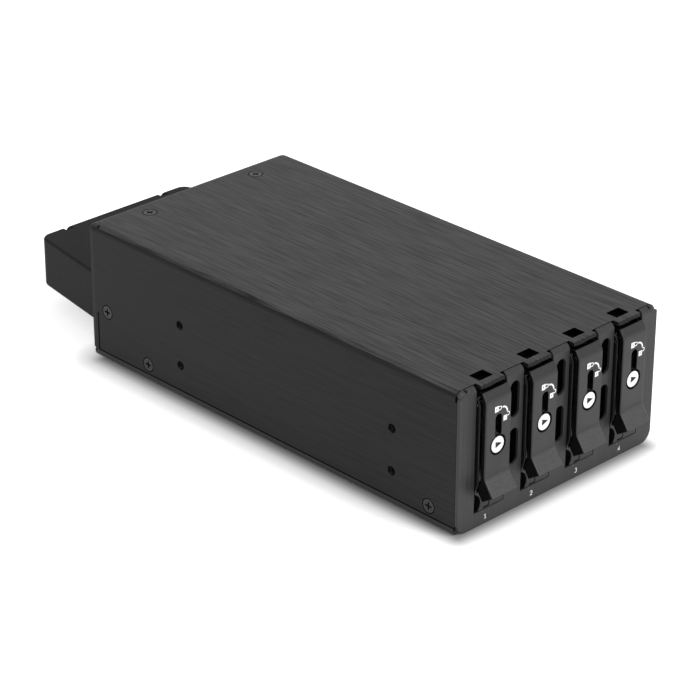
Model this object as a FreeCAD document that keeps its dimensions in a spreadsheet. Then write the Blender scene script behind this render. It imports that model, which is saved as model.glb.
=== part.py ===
import FreeCAD, Part

import math
import os
import re

import Sketcher

# Hot swap drive cage for four stick drives that stand on edge, one tray each.
# Millimetres. +Z is up, the bays face -Y, and +X is to the right seen from the front.
# The origin is the middle of the underside, half way between the front plate and the rear rim.

SIZES = [
    # Cover, front plate and pan
    ("bay_opening", 10.6, "width of one bay's opening in the front plate"),
    ("pillar", 6.0, "width of the post between two bays"),
    ("column", 5.8, "width of the front plate outside the outer bays"),
    ("body_height", 38.9, "underside to the top of the cover"),
    ("body_length", 140.2, "front plate's face to the rear rim"),
    ("strip_height", 4.1, "height of the front plate below the bays"),
    ("cover_sheet", 1.0, "sheet of the top cover"),
    ("cover_bend", 1.8, "outer radius of the cover's two long bends"),
    ("rear_bend", 3.0, "outer radius of the cover's bends at the rear"),
    ("rear_return", 3.3, "width of the cover's folded rim at the rear"),
    ("front_sheet", 0.8, "sheet of the front plate"),
    ("corner_round", 3.4, "radius of the front plate's lower corners"),
    ("tab_bend", 1.6, "outer radius of the front plate's upper tabs"),
    ("tab_depth", 1.3, "how far the upper tabs reach back"),
    ("tab_width", 2.7, "width of the upper tab beside an outer bay"),
    ("seam_gap", 0.1, "gap of a seam between two sheets"),
    ("edge_gap", 0.25, "gap between parts that don't touch inside"),
    ("nest_gap", 0.12, "gap between sheets that nest side by side"),
    ("tongue_gap", 1.2, "gap beside the cover's tongues"),
    ("tongue_reach", 0.3, "how far the cover's tongues stand out of the front plate"),
    ("lip_round", 0.45, "radius of the tongues' front edge"),
    ("window_width", 4.75, "latch window in the cover, across"),
    ("window_front", 1.9, "front plate's face to the latch window"),
    ("window_depth", 3.65, "latch window in the cover, front to back"),
    ("vent_width", 3.4, "vent slot in a post"),
    ("vent_drop", 3.1, "cover's top down to the upper vent slot"),
    ("vent_length", 9.9, "length of a vent slot"),
    ("vent_step", 13.0, "lower slot to upper slot"),
    ("relief_radius", 0.45, "radius of a relief hole where bends meet"),
    ("slit_width", 0.5, "slit between the cover's side and its rear rim"),
    ("slit_rear", 4.2, "rear rim to that slit"),
    ("slit_length", 11.3, "length of that slit"),
    ("lens_radius", 0.32, "radius of a status lens"),
    ("upper_lens_side", 2.15, "bay's centre line to its upper lens"),
    ("upper_lens_height", 3.65, "underside to the upper lenses"),
    ("lower_lens_side", 1.6, "bay's centre line to its lower lens"),
    ("lower_lens_height", 1.25, "underside to the lower lenses"),
    ("lens_length", 1.0, "length of a status lens"),
    ("pan_sheet", 1.0, "sheet of the bottom pan"),
    ("pan_edge", 1.8, "height of the pan's folded edge"),
    ("pan_wall", 27.0, "height of the pan's side walls"),
    ("pan_wall_front", 17.0, "front plate's face to the pan's side walls"),
    ("panel_sheet", 1.0, "sheet of the rear panel"),
    ("panel_flange", 12.5, "rear rim to the front of the rear panel's flanges"),
    # Fixings
    ("mount_front", 22.6, "front plate's face to the front pair of mounting holes"),
    ("mount_length", 79.25, "mounting holes, front to rear"),
    ("mount_low", 9.3, "underside to the lower row of mounting holes"),
    ("mount_rise", 11.84, "mounting holes, lower row to upper row"),
    ("mount_radius", 1.3, "radius of a tapped mounting hole"),
    ("screw_head", 1.9, "radius of a countersunk head"),
    ("screw_shank", 1.0, "radius of a screw's shank"),
    ("screw_play", 0.05, "gap round a screw's shank"),
    ("screw_length", 4.0, "length of a screw"),
    ("recess_length", 2.2, "cross recess, end to end"),
    ("recess_width", 0.5, "width of a cross recess"),
    ("recess_depth", 0.6, "depth of a cross recess"),
    ("top_screw_side", 19.4, "centre line to the screws in the top"),
    ("top_screw_rear", 7.5, "rear rim to the screws in the top"),
    ("rear_screw", 8.2, "rear rim to the rear screw in each side"),
    ("rear_screw_height", 14.5, "height of the rear screw in each side"),
    ("middle_screw", 24.9, "rear rim to the middle screw in each side"),
    ("front_screw", 9.7, "front plate's face to the front screw in each side"),
    ("low_screw_height", 4.7, "height of the middle and front screws"),
    # Trays
    ("tray_gap", 0.25, "running gap between a tray and what guides it"),
    ("tray_wall", 1.2, "wall of a tray"),
    ("cheek", 0.4, "thin cheek of a tray beside its lever"),
    ("cheek_proud", 0.95, "how far the cheeks stand out of the front plate"),
    ("cheek_round", 3.3, "radius of the cheeks' upper corners"),
    ("cheek_rise", 2.85, "height over which the cheeks come forward above the foot"),
    ("foot_height", 5.4, "height of the tray's foot"),
    ("foot_depth", 3.0, "front to back of the tray's foot"),
    ("foot_notch", 3.1, "radius of the finger notch in the foot"),
    ("notch_side", 6.1, "bay's centre line to the centre of that notch"),
    ("notch_rise", 2.3, "opening's lower edge to the centre of that notch"),
    ("hook_width", 0.35, "width of the hook-shaped groove in the foot"),
    ("hook_depth", 0.6, "depth of that groove"),
    ("hook_side", 0.2, "bay's centre line to the right side of the groove"),
    ("hook_length", 1.9, "length of the groove's lower run"),
    ("hook_low", 0.2, "foot's underside to the groove's lower run"),
    ("hook_rise", 1.6, "length of the groove's upright"),
    ("lock_plate_back", 1.6, "front plate's face to the tray's lock plate"),
    ("lock_plate", 1.0, "thickness of the tray's lock plate"),
    ("plate_drop", 5.1, "lever's pivot down to the lock plate's upper edge"),
    ("cross_back", 5.6, "front plate's face to the tray's cross wall"),
    ("runner", 2.0, "height of a tray's upper and lower runner"),
    ("module_length", 80.0, "length of the drive that a tray takes"),
    ("module_width", 22.0, "width of that drive, which stands on edge"),
    ("module_pocket", 4.9, "room across the drive in a tray"),
    ("module_play", 0.6, "play at each end of the drive"),
    ("post_radius", 2.0, "radius of the post that the drive is screwed to"),
    ("post_rise", 1.6, "tray's wall to the top of that post"),
    ("drive_screw_head", 1.8, "radius of the drive screw's head"),
    ("drive_screw_shank", 0.9, "radius of the drive screw's shank"),
    ("drive_screw_rise", 1.0, "height of the drive screw's head"),
    ("pad", 0.5, "thickness of the thermal pad"),
    ("pad_margin", 3.0, "heat plate's edge to the thermal pad"),
    ("plate_base", 1.0, "thickness of the heat plate under its fins"),
    ("fin_pitch", 3.2, "heat plate's fins, middle to middle"),
    ("fin_sheet", 1.0, "thickness of a fin"),
    # Levers and locks
    ("lever_width", 8.8, "width of a lever"),
    ("lever_sheet", 0.8, "wall of a lever"),
    ("lever_proud", 2.5, "how far a lever's face stands out of the front plate"),
    ("lever_flank", 1.35, "depth of a lever's flanks behind its face"),
    ("lever_fold", 14.25, "height of the fold above the finger grip"),
    ("lever_drop", 1.7, "cover's top down to the lever's top edge"),
    ("top_rise", 2.0, "height of the lever's top that leans back"),
    ("top_slant", 1.3, "how far the lever's top leans back"),
    ("top_edge", 0.96, "front to back of the lever's top edge"),
    ("fold_round", 3.0, "outer radius of the lever's two folds"),
    ("flank_round", 0.35, "outer radius between a lever's face and its flanks"),
    ("grip_out", 2.9, "how far the finger grip flares out"),
    ("grip_drop", 4.15, "fall of the finger grip"),
    ("web_drop", 2.2, "how far the grip's webs reach below its edge"),
    ("web_back", 3.5, "grip's edge to the lowest point of its webs"),
    ("web_reach", 0.4, "how far the webs reach behind the front plate's face"),
    ("web_rise", 1.2, "grip's edge up to the rear corner of its webs"),
    ("hinge_back", 0.5, "front plate's face to the lever's pivot"),
    ("hinge_drop", 5.0, "cover's top down to the lever's pivot"),
    ("pin_radius", 0.75, "radius of the hinge pin"),
    ("pin_gap", 0.05, "running gap round a pin, a barrel or the shaft"),
    ("hub_wall", 0.8, "wall of the lever's hub round the pin"),
    ("claw_back", 2.3, "front plate's face to the tip of the lever's claw"),
    ("claw_gap", 0.35, "claw's tip to the underside of the cover"),
    ("claw_width", 3.0, "width of the claw"),
    ("claw_sheet", 1.1, "thickness of the claw"),
    ("lock_height", 22.4, "underside to the middle of the lock"),
    ("lock_disc", 2.15, "radius of the lock's disc"),
    ("lock_ring", 2.75, "radius of the lock's opening in the lever"),
    ("lock_seat", 0.6, "depth of the disc's seat in the bush"),
    ("lock_barrel", 1.4, "radius of the lock's barrel"),
    ("lock_bush", 3.3, "radius of the bush round the barrel"),
    ("bush_length", 1.5, "length of that bush"),
    ("slot_width", 2.3, "slot above the lock, across"),
    ("slot_low", 2.0, "lock's middle to the lower end of that slot"),
    ("slot_high", 8.4, "lock's middle to the upper end of that slot"),
    ("cam_reach", 3.2, "reach of the lock's cam"),
    ("cam_width", 2.0, "width of the cam"),
    ("cam_sheet", 0.8, "thickness of the cam"),
    ("cam_gap", 0.3, "gap between the cam and the lock plate"),
    ("cam_play", 1.2, "room above and below the cam in its opening"),
    ("mark_length", 2.25, "length of the disc's triangular recess"),
    ("mark_width", 1.73, "width of that recess"),
    ("mark_depth", 0.35, "depth of that recess"),
    # Inside the cage
    ("guide_sheet", 1.0, "thickness of the guides' plates and rails"),
    ("rail_height", 2.2, "height of a guide's rails beside a tray"),
    ("ledge", 1.4, "width of the ledge under a tray's edge"),
    ("board", 1.6, "thickness of a circuit board"),
    ("socket_depth", 8.6, "drive socket, front to back"),
    ("socket_width", 5.2, "drive socket, across"),
    ("socket_slot", 1.0, "slot of a drive socket"),
    ("socket_bite", 4.0, "how far a drive enters its socket"),
    ("air_slot", 4.4, "air slots in the backplane, across"),
    ("air_low", 8.0, "height of the lower end of those slots"),
    ("air_length", 14.0, "length of those slots"),
    ("blower_width", 50.0, "side of the blower"),
    ("blower_height", 10.0, "height of the blower"),
    ("blower_back", 109.0, "front plate's face to the blower"),
    ("blower_inlet", 16.0, "radius of the blower's inlet"),
    ("blower_corner", 6.0, "radius of the blower's corners"),
    ("blower_sheet", 1.0, "wall of the blower"),
    ("blower_post", 2.6, "radius of the posts under the blower"),
    ("post_inset", 3.9, "blower's side to its posts' middle"),
    ("scroll_gap", 2.5, "impeller's rim to the scroll"),
    ("impeller_radius", 18.5, "radius of the impeller"),
    ("impeller_gap", 0.5, "gap over and under the impeller"),
    ("hub_radius", 9.0, "radius of the impeller's hub"),
    ("stator_radius", 7.4, "radius of the blower's stator"),
    ("stator_height", 3.5, "height of the stator"),
    ("shaft_radius", 1.0, "radius of the blower's shaft"),
    ("blade_sheet", 0.8, "thickness of a blade"),
    ("blade_sweep", 4.5, "how far a blade leans back at its tip"),
    ("hood_low", 6.6, "underside to the hood's lower face"),
    ("hood_height", 14.7, "height of the hood"),
    ("hood_front", 64.2, "width of the hood at the rear panel"),
    ("hood_rear", 53.6, "width of the hood at its end"),
    ("hood_depth", 32.4, "rear rim to the hood's end"),
    ("hood_wall", 1.2, "wall of the hood"),
    ("hood_corner", 3.5, "radius of the hood's rear corners"),
    ("hood_edge", 0.8, "radius of the hood's long edges"),
    ("hood_notch", 17.6, "centre line to a notch in the hood's upper edge"),
    ("notch_width", 2.6, "width of that notch"),
    ("notch_depth", 1.3, "depth of that notch"),
    ("grille_pitch", 3.6, "hood's outlet slots, middle to middle"),
    ("grille_slot", 2.0, "width of an outlet slot"),
    ("grille_margin", 2.6, "outlet slots to the hood's lower and upper face"),
    ("port_board_height", 24.4, "underside to the port board"),
    ("strip_width", 4.0, "width of the strips that carry the port board"),
    ("strip_sheet", 1.4, "thickness of those strips"),
    ("port_width", 9.0, "data port, across"),
    ("port_height", 4.8, "data port, upwards"),
    ("port_depth", 12.6, "data port, front to back"),
    ("port_wall", 0.5, "wall of a port's shell"),
    ("tongue_sheet", 0.8, "thickness of a data port's tongue"),
    ("port_pitch", 11.4, "data ports, middle to middle"),
    ("port_first", 24.0, "centre line to the first data port"),
    ("port_play", 0.3, "gap round a port in the rear panel"),
    ("power_width", 13.0, "power inlet, across"),
    ("power_side", 23.0, "centre line to the power inlet"),
]
BAYS = 4
PORTS = 4
POWER_PINS = 4
FINS = 8
OUTLET_SLOTS = 11
BLADES = 19
SIDES = (("left", -1), ("right", 1))

document = FreeCAD.newDocument("drive_cage")
sheet = document.addObject("Spreadsheet::Sheet", "Sizes")
for row, (alias, number, meaning) in enumerate(SIZES, 1):
    sheet.set(f"A{row}", alias)
    sheet.set(f"B{row}", str(number))
    sheet.set(f"C{row}", meaning)
    sheet.setAlias(f"B{row}", alias)
document.recompute()

ALIASES = {alias for alias, number, meaning in SIZES}
BODIES = []

# Places that several pieces share, as formulas of the sizes.
HALF = f"(column + {BAYS / 2} * bay_opening + {(BAYS - 1) / 2} * pillar)"
PITCH = "(bay_opening + pillar)"
FRONT = "(-(body_length) / 2)"
REAR = "(body_length / 2)"
COVER_FRONT = f"({FRONT} + front_sheet + seam_gap)"
SEAM = "(pan_edge + seam_gap)"
UNDER_TOP = "(body_height - cover_sheet)"
INSIDE = f"({HALF} - cover_sheet - nest_gap)"
PAN_INSIDE = f"({INSIDE} - pan_sheet)"
PANEL_FACE = f"({REAR} - cover_sheet - nest_gap)"
PANEL_TOP = f"({UNDER_TOP} - nest_gap)"
GUIDES_FRONT = f"({FRONT} + window_front + window_depth + guide_sheet)"
TRAY_SIDE = "(bay_opening / 2 - tray_gap)"
TRAY_LOW = "(strip_height + tray_gap)"
TRAY_HIGH = f"({UNDER_TOP} - guide_sheet - tray_gap)"
TRAY_INNER_LOW = f"({TRAY_LOW} + runner)"
TRAY_INNER_HIGH = f"({TRAY_HIGH} - runner)"
CROSS_WALL = f"({FRONT} + cross_back)"
CROSS_BACK = f"({CROSS_WALL} + tray_wall)"
MODULE_FRONT = f"({CROSS_BACK} + module_play)"
MODULE_MIDDLE = f"(({TRAY_LOW} + {TRAY_HIGH}) / 2)"
MODULE_REAR = f"({MODULE_FRONT} + module_length)"
SOCKET_FRONT = f"({MODULE_REAR} - socket_bite)"
BACKPLANE = f"({SOCKET_FRONT} + socket_depth)"
TRAY_END = f"({SOCKET_FRONT} - module_play)"
TRAY_WALL_INSIDE = f"(-{TRAY_SIDE} + tray_wall)"
PLATE_INSIDE = f"({TRAY_WALL_INSIDE} + module_pocket + pad)"
HINGE_Y = f"({FRONT} + hinge_back)"
HINGE_Z = "(body_height - hinge_drop)"
HUB = "(pin_radius + hub_wall)"
LEVER_TOP = "(body_height - lever_drop)"
LEVER_BEND = f"({LEVER_TOP} - top_rise)"
VENT_LOW = "(body_height - vent_drop - vent_length - vent_step)"
LEVER_FACE = f"({FRONT} - lever_proud)"
LEVER_BACK = f"({LEVER_FACE} + lever_sheet)"
LOCK_PLATE = f"({FRONT} + lock_plate_back)"
CAM_FRONT = f"({LOCK_PLATE} + lock_plate + cam_gap)"
HOOD_TOP = "(hood_low + hood_height)"
HOOD_END = f"({REAR} + hood_depth)"
BLOWER_LOW = "(hood_low + hood_wall + impeller_gap)"
BLOWER_HIGH = f"({BLOWER_LOW} + blower_height)"
BLOWER_MIDDLE = f"({FRONT} + blower_back + blower_width / 2)"
PORT_LOW = "(port_board_height + board)"
PORT_HIGH = f"({PORT_LOW} + port_height)"
THROUGH_FRONT = (f"{FRONT} - 1", f"{FRONT} + front_sheet + 1")
THROUGH_TABS = (f"{FRONT} - 1", f"{FRONT} + tab_depth + 1")


def bind(item, name, formula):
    """Tie a property to a formula in the sheet's own words."""
    def in_sheet(match):
        word = match.group()
        return f"Sizes.{word}" if word in ALIASES else word
    item.setExpression(name, re.sub(r"[A-Za-z_]\w*", in_sheet, str(formula)))


def bay_middle(bay):
    """Formula of a bay's middle, counted from the left."""
    return f"({bay - (BAYS - 1) / 2} * {PITCH})"


def around(middle, width):
    """Two ends of a width about a middle."""
    return (f"{middle} - ({width}) / 2", f"{middle} + ({width}) / 2")


def on_side(sign, near, far):
    """Two ends of a stretch beside the centre line, on the right or mirrored to the left."""
    return (near, far) if sign > 0 else (f"-({far})", f"-({near})")


class Piece:
    """One sub-part: a body whose features take their sizes from the sheet."""

    TURNS = {"x": FreeCAD.Rotation(FreeCAD.Vector(0, 1, 0), 90),
             "y": FreeCAD.Rotation(FreeCAD.Vector(1, 0, 0), -90),
             "z": FreeCAD.Rotation()}
    PLANES = {"x": "YZ_Plane", "y": "XZ_Plane", "z": "XY_Plane"}

    def __init__(self, label, **place):
        self.body = document.addObject("PartDesign::Body", label)
        self.body.Label = label
        self.body.AllowCompound = True
        for axis, formula in place.items():
            bind(self.body, f"Placement.Base.{axis}", formula)
        BODIES.append(self.body)

    def feature(self, kind, name):
        return self.body.newObject(f"PartDesign::{kind}", f"{self.body.Name}_{name}")

    def origin(self, role):
        return [item for item in self.body.Origin.OriginFeatures if item.Role == role][0]

    def box(self, name, x, y, z, cut=False):
        """A block between three pairs of ends."""
        block = self.feature("SubtractiveBox" if cut else "AdditiveBox", name)
        for side, axis, (low, high) in zip(("Length", "Width", "Height"), "xyz", (x, y, z)):
            bind(block, side, f"{high} - ({low})")
            bind(block, f"Placement.Base.{axis}", low)
        return block

    def turned(self, kind, name, along, centre, ends, cut):
        """A primitive laid along an axis; centre holds its other two places in x, y, z order."""
        item = self.feature(("Subtractive" if cut else "Additive") + kind, name)
        item.Placement = FreeCAD.Placement(FreeCAD.Vector(), self.TURNS[along])
        others = [axis for axis in "xyz" if axis != along]
        for axis, place in zip(others, centre):
            bind(item, f"Placement.Base.{axis}", place)
        bind(item, f"Placement.Base.{along}", ends[0])
        bind(item, "Height", f"{ends[1]} - ({ends[0]})")
        return item

    def rod(self, name, along, centre, ends, radius, cut=False):
        """A round bar or bore along an axis."""
        bar = self.turned("Cylinder", name, along, centre, ends, cut)
        bind(bar, "Radius", radius)
        return bar

    def cone(self, name, along, centre, ends, radii, cut=False):
        """A cone along an axis, with its radius at the low and at the high end."""
        taper = self.turned("Cone", name, along, centre, ends, cut)
        bind(taper, "Radius1", radii[0])
        bind(taper, "Radius2", radii[1])
        return taper

    def ball(self, name, centre, radius):
        """A sphere."""
        sphere = self.feature("AdditiveSphere", name)
        bind(sphere, "Radius", radius)
        for axis, place in zip("xyz", centre):
            bind(sphere, f"Placement.Base.{axis}", place)
        return sphere

    def slot(self, name, x, z, width, through):
        """An upright slot with round ends, cut from front to back."""
        low, high = f"({z[0]} + ({width}) / 2)", f"({z[1]} - ({width}) / 2)"
        self.box(name, around(x, width), through, (low, high), cut=True)
        self.rod(f"{name}_low", "y", (x, low), through, f"({width}) / 2", cut=True)
        self.rod(f"{name}_high", "y", (x, high), through, f"({width}) / 2", cut=True)

    def prism(self, name, across, ends, points, cut=False):
        """A straight-sided outline carried along an axis between two ends."""
        sketch = self.body.newObject("Sketcher::SketchObject", f"{self.body.Name}_{name}_outline")
        sketch.AttachmentSupport = [(self.origin(self.PLANES[across]), "")]
        sketch.MapMode = "FlatFace"
        start = ends[1] if (across == "y") != cut else ends[0]
        bind(sketch, "AttachmentOffset.Base.z", f"-({start})" if across == "y" else start)
        count = len(points)
        spots = [FreeCAD.Vector(math.cos(2 * math.pi * i / count), math.sin(2 * math.pi * i / count))
                 for i in range(count)]
        for i in range(count):
            sketch.addGeometry(Part.LineSegment(spots[i], spots[(i + 1) % count]), False)
        for i in range(count):
            sketch.addConstraint(Sketcher.Constraint("Coincident", i, 2, (i + 1) % count, 1))
        for i, point in enumerate(points):
            for kind, spot, formula in zip(("DistanceX", "DistanceY"), spots[i], point):
                datum = sketch.addConstraint(Sketcher.Constraint(kind, -1, 1, i, 1, spot))
                bind(sketch, f"Constraints[{datum}]", formula)
        solid = self.feature("Pocket" if cut else "Pad", name)
        solid.Profile = sketch
        bind(solid, "Length", f"{ends[1]} - ({ends[0]})")
        return solid

    def edges(self, along, **places):
        """Names of the newest feature's edges along an axis, at its low or high side or at a place."""
        document.recompute()
        shape = self.body.Tip.Shape
        whole = shape.BoundBox
        levels = {"x": {"low": whole.XMin, "high": whole.XMax},
                  "y": {"low": whole.YMin, "high": whole.YMax},
                  "z": {"low": whole.ZMin, "high": whole.ZMax}}
        names = []
        for index, edge in enumerate(shape.Edges, 1):
            box = edge.BoundBox
            ends = {"x": (box.XMin, box.XMax), "y": (box.YMin, box.YMax), "z": (box.ZMin, box.ZMax)}
            straight = all(ends[axis][1] - ends[axis][0] < 0.001 for axis in "xyz" if axis != along)
            near = all(abs(ends[axis][0] - levels[axis].get(place, place)) < 0.01
                       for axis, place in places.items())
            if straight and near:
                names.append(f"Edge{index}")
        return names

    def flank_edges(self, front, low):
        """Names of the newest feature's edges on its two flanks, in front of a place and above another."""
        document.recompute()
        shape = self.body.Tip.Shape
        names = []
        for index, edge in enumerate(shape.Edges, 1):
            box = edge.BoundBox
            flat = abs(abs(box.XMin + box.XMax) - shape.BoundBox.XLength) < 0.001
            if flat and box.YMax < front and box.ZMin > low:
                names.append(f"Edge{index}")
        return names

    def round(self, name, radius, edges):
        """Rounded edges of the newest feature."""
        base = self.body.Tip
        fillet = self.feature("Fillet", name)
        fillet.Base = (base, edges)
        bind(fillet, "Radius", radius)
        return fillet

    def row(self, name, feature, along, step, count):
        """A feature repeated at even steps along an axis."""
        pattern = self.feature("LinearPattern", name)
        pattern.Originals = [feature]
        pattern.Direction = (self.origin(f"{along.upper()}_Axis"), [""])
        pattern.Mode = "Spacing"
        pattern.Occurrences = count
        bind(pattern, "Offset", step)
        self.body.Tip = pattern
        return pattern

    def ring(self, name, feature, count):
        """A feature repeated round the body's own Z axis."""
        pattern = self.feature("PolarPattern", name)
        pattern.Originals = [feature]
        pattern.Axis = (self.origin("Z_Axis"), [""])
        pattern.Angle = 360
        pattern.Occurrences = count
        self.body.Tip = pattern
        return pattern


def mount_holes():
    """Places of the four mounting holes in each side."""
    return [(f"({FRONT} + mount_front + {i} * mount_length)", f"(mount_low + {k} * mount_rise)")
            for i in (0, 1) for k in (0, 1)]


REAR_SCREW = (f"({REAR} - rear_screw)", "rear_screw_height")
MIDDLE_SCREW = (f"({REAR} - middle_screw)", "low_screw_height")
FRONT_SCREW = (f"({FRONT} + front_screw)", "low_screw_height")
SIDE_SCREWS = (REAR_SCREW, MIDDLE_SCREW, FRONT_SCREW)


def top_screw(sign):
    return (f"({sign} * top_screw_side)", f"({REAR} - top_screw_rear)")


def countersink(piece, name, along, centre, sign, face):
    """A screw hole with a seat for its countersunk head."""
    hole = on_side(sign, f"{face} - 2 * cover_sheet", f"{face} + 1")
    piece.rod(f"{name}_hole", along, centre, hole, "screw_shank + screw_play", cut=True)
    radii = ("screw_shank", "screw_head")[::sign]
    piece.cone(f"{name}_seat", along, centre, on_side(sign, f"{face} - cover_sheet", face), radii, cut=True)


def screw(piece, name, along, centre, sign, face):
    """A countersunk screw with a cross recess."""
    radii = ("screw_shank", "screw_head")[::sign]
    piece.cone(f"{name}_head", along, centre, on_side(sign, f"{face} - cover_sheet", face), radii)
    shank = on_side(sign, f"{face} - screw_length", f"{face} - cover_sheet")
    piece.rod(f"{name}_shank", along, centre, shank, "screw_shank")
    first, second = [axis for axis in "xyz" if axis != along]
    arms = {"bar": ("recess_length", "recess_width"), "cross": ("recess_width", "recess_length")}
    for arm, sizes in arms.items():
        ends = {along: on_side(sign, f"{face} - recess_depth", f"{face} + 1"),
                first: around(centre[0], sizes[0]), second: around(centre[1], sizes[1])}
        piece.box(f"{name}_{arm}", ends["x"], ends["y"], ends["z"], cut=True)


def screw_hole(piece, name, along, centre, ends):
    piece.rod(name, along, centre, ends, "screw_shank + screw_play", cut=True)


def make_cover():
    """Top cover: one sheet folded down both sides and in round the rear."""
    room = bent_block("cover_room", f"({HALF} - cover_sheet)",
                      (f"{COVER_FRONT} - 1", f"{REAR} - cover_sheet"), (f"{SEAM} - 1", UNDER_TOP),
                      ("rear_bend - cover_sheet", "cover_bend - cover_sheet"))
    piece = bent_block("cover_block", HALF, (COVER_FRONT, REAR), (SEAM, "body_height"),
                       ("rear_bend", "cover_bend"))
    rim = f"({HALF} - rear_return)"
    piece.box("rear_opening", (f"-{rim}", rim), (f"{REAR} - 2 * cover_sheet", f"{REAR} + 1"),
              (f"{SEAM} - 1", "body_height - rear_return"), cut=True)
    notch_back = f"({FRONT} + tab_depth + edge_gap)"
    through = (f"{UNDER_TOP} - tab_bend", "body_height + 1")
    for post in range(BAYS + 1):
        middle = f"({post - BAYS / 2} * {PITCH})"
        ends = list(around(middle, "pillar + 2 * tongue_gap"))
        if post == 0:
            ends[0] = f"-{HALF} - 1"
        if post == BAYS:
            ends[1] = f"{HALF} + 1"
        piece.box(f"notch_{post}", ends, (f"{FRONT} - 1", notch_back), through, cut=True)
    for bay in range(BAYS):
        middle = bay_middle(bay)
        piece.box(f"tongue_{bay}", around(middle, "bay_opening - 2 * tongue_gap"),
                  (f"{FRONT} - tongue_reach", notch_back), (UNDER_TOP, "body_height"))
        window_front = f"({FRONT} + window_front)"
        piece.box(f"window_{bay}", around(middle, "window_width"),
                  (window_front, f"{window_front} + window_depth"), through, cut=True)
    piece.round("lips", "lip_round", piece.edges("x", y="low", z="high"))
    for name, sign in SIDES:
        wall = on_side(sign, f"{HALF} - 2 * cover_sheet", f"{HALF} + 1")
        for i, centre in enumerate(mount_holes()):
            piece.rod(f"mount_{name}_{i}", "x", centre, wall, "mount_radius", cut=True)
        for i, centre in enumerate(SIDE_SCREWS):
            countersink(piece, f"screw_{name}_{i}", "x", centre, sign, HALF)
        countersink(piece, f"top_screw_{name}", "z", top_screw(sign), 1, "body_height")
        piece.box(f"slit_{name}", wall, around(f"({REAR} - slit_rear)", "slit_width"),
                  (f"{SEAM} - 1", f"{SEAM} + slit_length"), cut=True)
        relief = (f"({sign} * ({HALF} - cover_bend / 2))", f"({REAR} - rear_bend - cover_bend)")
        piece.rod(f"relief_{name}", "z", relief, through, "relief_radius", cut=True)
    hollowed("top_cover", piece, room)


def bent_block(label, half, y, z, bends):
    """A block with rounded edges at the rear and along the top, open to the front and below."""
    piece = Piece(label)
    piece.box("block", (f"-{half}", half), y, z)
    rear_edges = piece.edges("z", x="low", y="high") + piece.edges("z", x="high", y="high")
    piece.round("rear_bends", bends[0], rear_edges + piece.edges("x", y="high", z="high"))
    piece.round("long_bends", bends[1],
                piece.edges("y", x="low", z="high") + piece.edges("y", x="high", z="high"))
    return piece


def hollowed(label, piece, room):
    """A piece less the room inside it, as a sub-part of its own."""
    result = document.addObject("Part::Cut", label)
    result.Label = label
    result.Base = piece.body
    result.Tool = room.body
    BODIES.remove(piece.body)
    BODIES.remove(room.body)
    BODIES.append(result)


def make_pan():
    """Bottom pan: a floor, folded edges and two walls that stand inside the cover's sides."""
    piece = Piece("bottom_pan")
    start = f"({COVER_FRONT} + edge_gap)"
    piece.box("floor", (f"-{HALF}", HALF), (start, f"{REAR} - cover_sheet"), ("0", "pan_sheet"))
    piece.round("rear_corners", "rear_bend - cover_sheet",
                piece.edges("z", x="low", y="high") + piece.edges("z", x="high", y="high"))
    for name, sign in SIDES:
        piece.box(f"edge_{name}", on_side(sign, PAN_INSIDE, HALF), (start, f"{REAR} - rear_bend"),
                  ("0", "pan_edge"))
    piece.round("long_edges", "pan_sheet / 2",
                piece.edges("y", x="low", z="low") + piece.edges("y", x="high", z="low"))
    for name, sign in SIDES:
        piece.box(f"wall_{name}", on_side(sign, PAN_INSIDE, INSIDE),
                  (f"{FRONT} + pan_wall_front", f"{REAR} - panel_flange - edge_gap"), ("0", "pan_wall"))
        through = on_side(sign, f"{PAN_INSIDE} - 1", f"{HALF} + 1")
        for i, centre in enumerate(mount_holes()):
            piece.rod(f"mount_{name}_{i}", "x", centre, through, "mount_radius", cut=True)
        screw_hole(piece, f"screw_{name}", "x", MIDDLE_SCREW, through)


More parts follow.
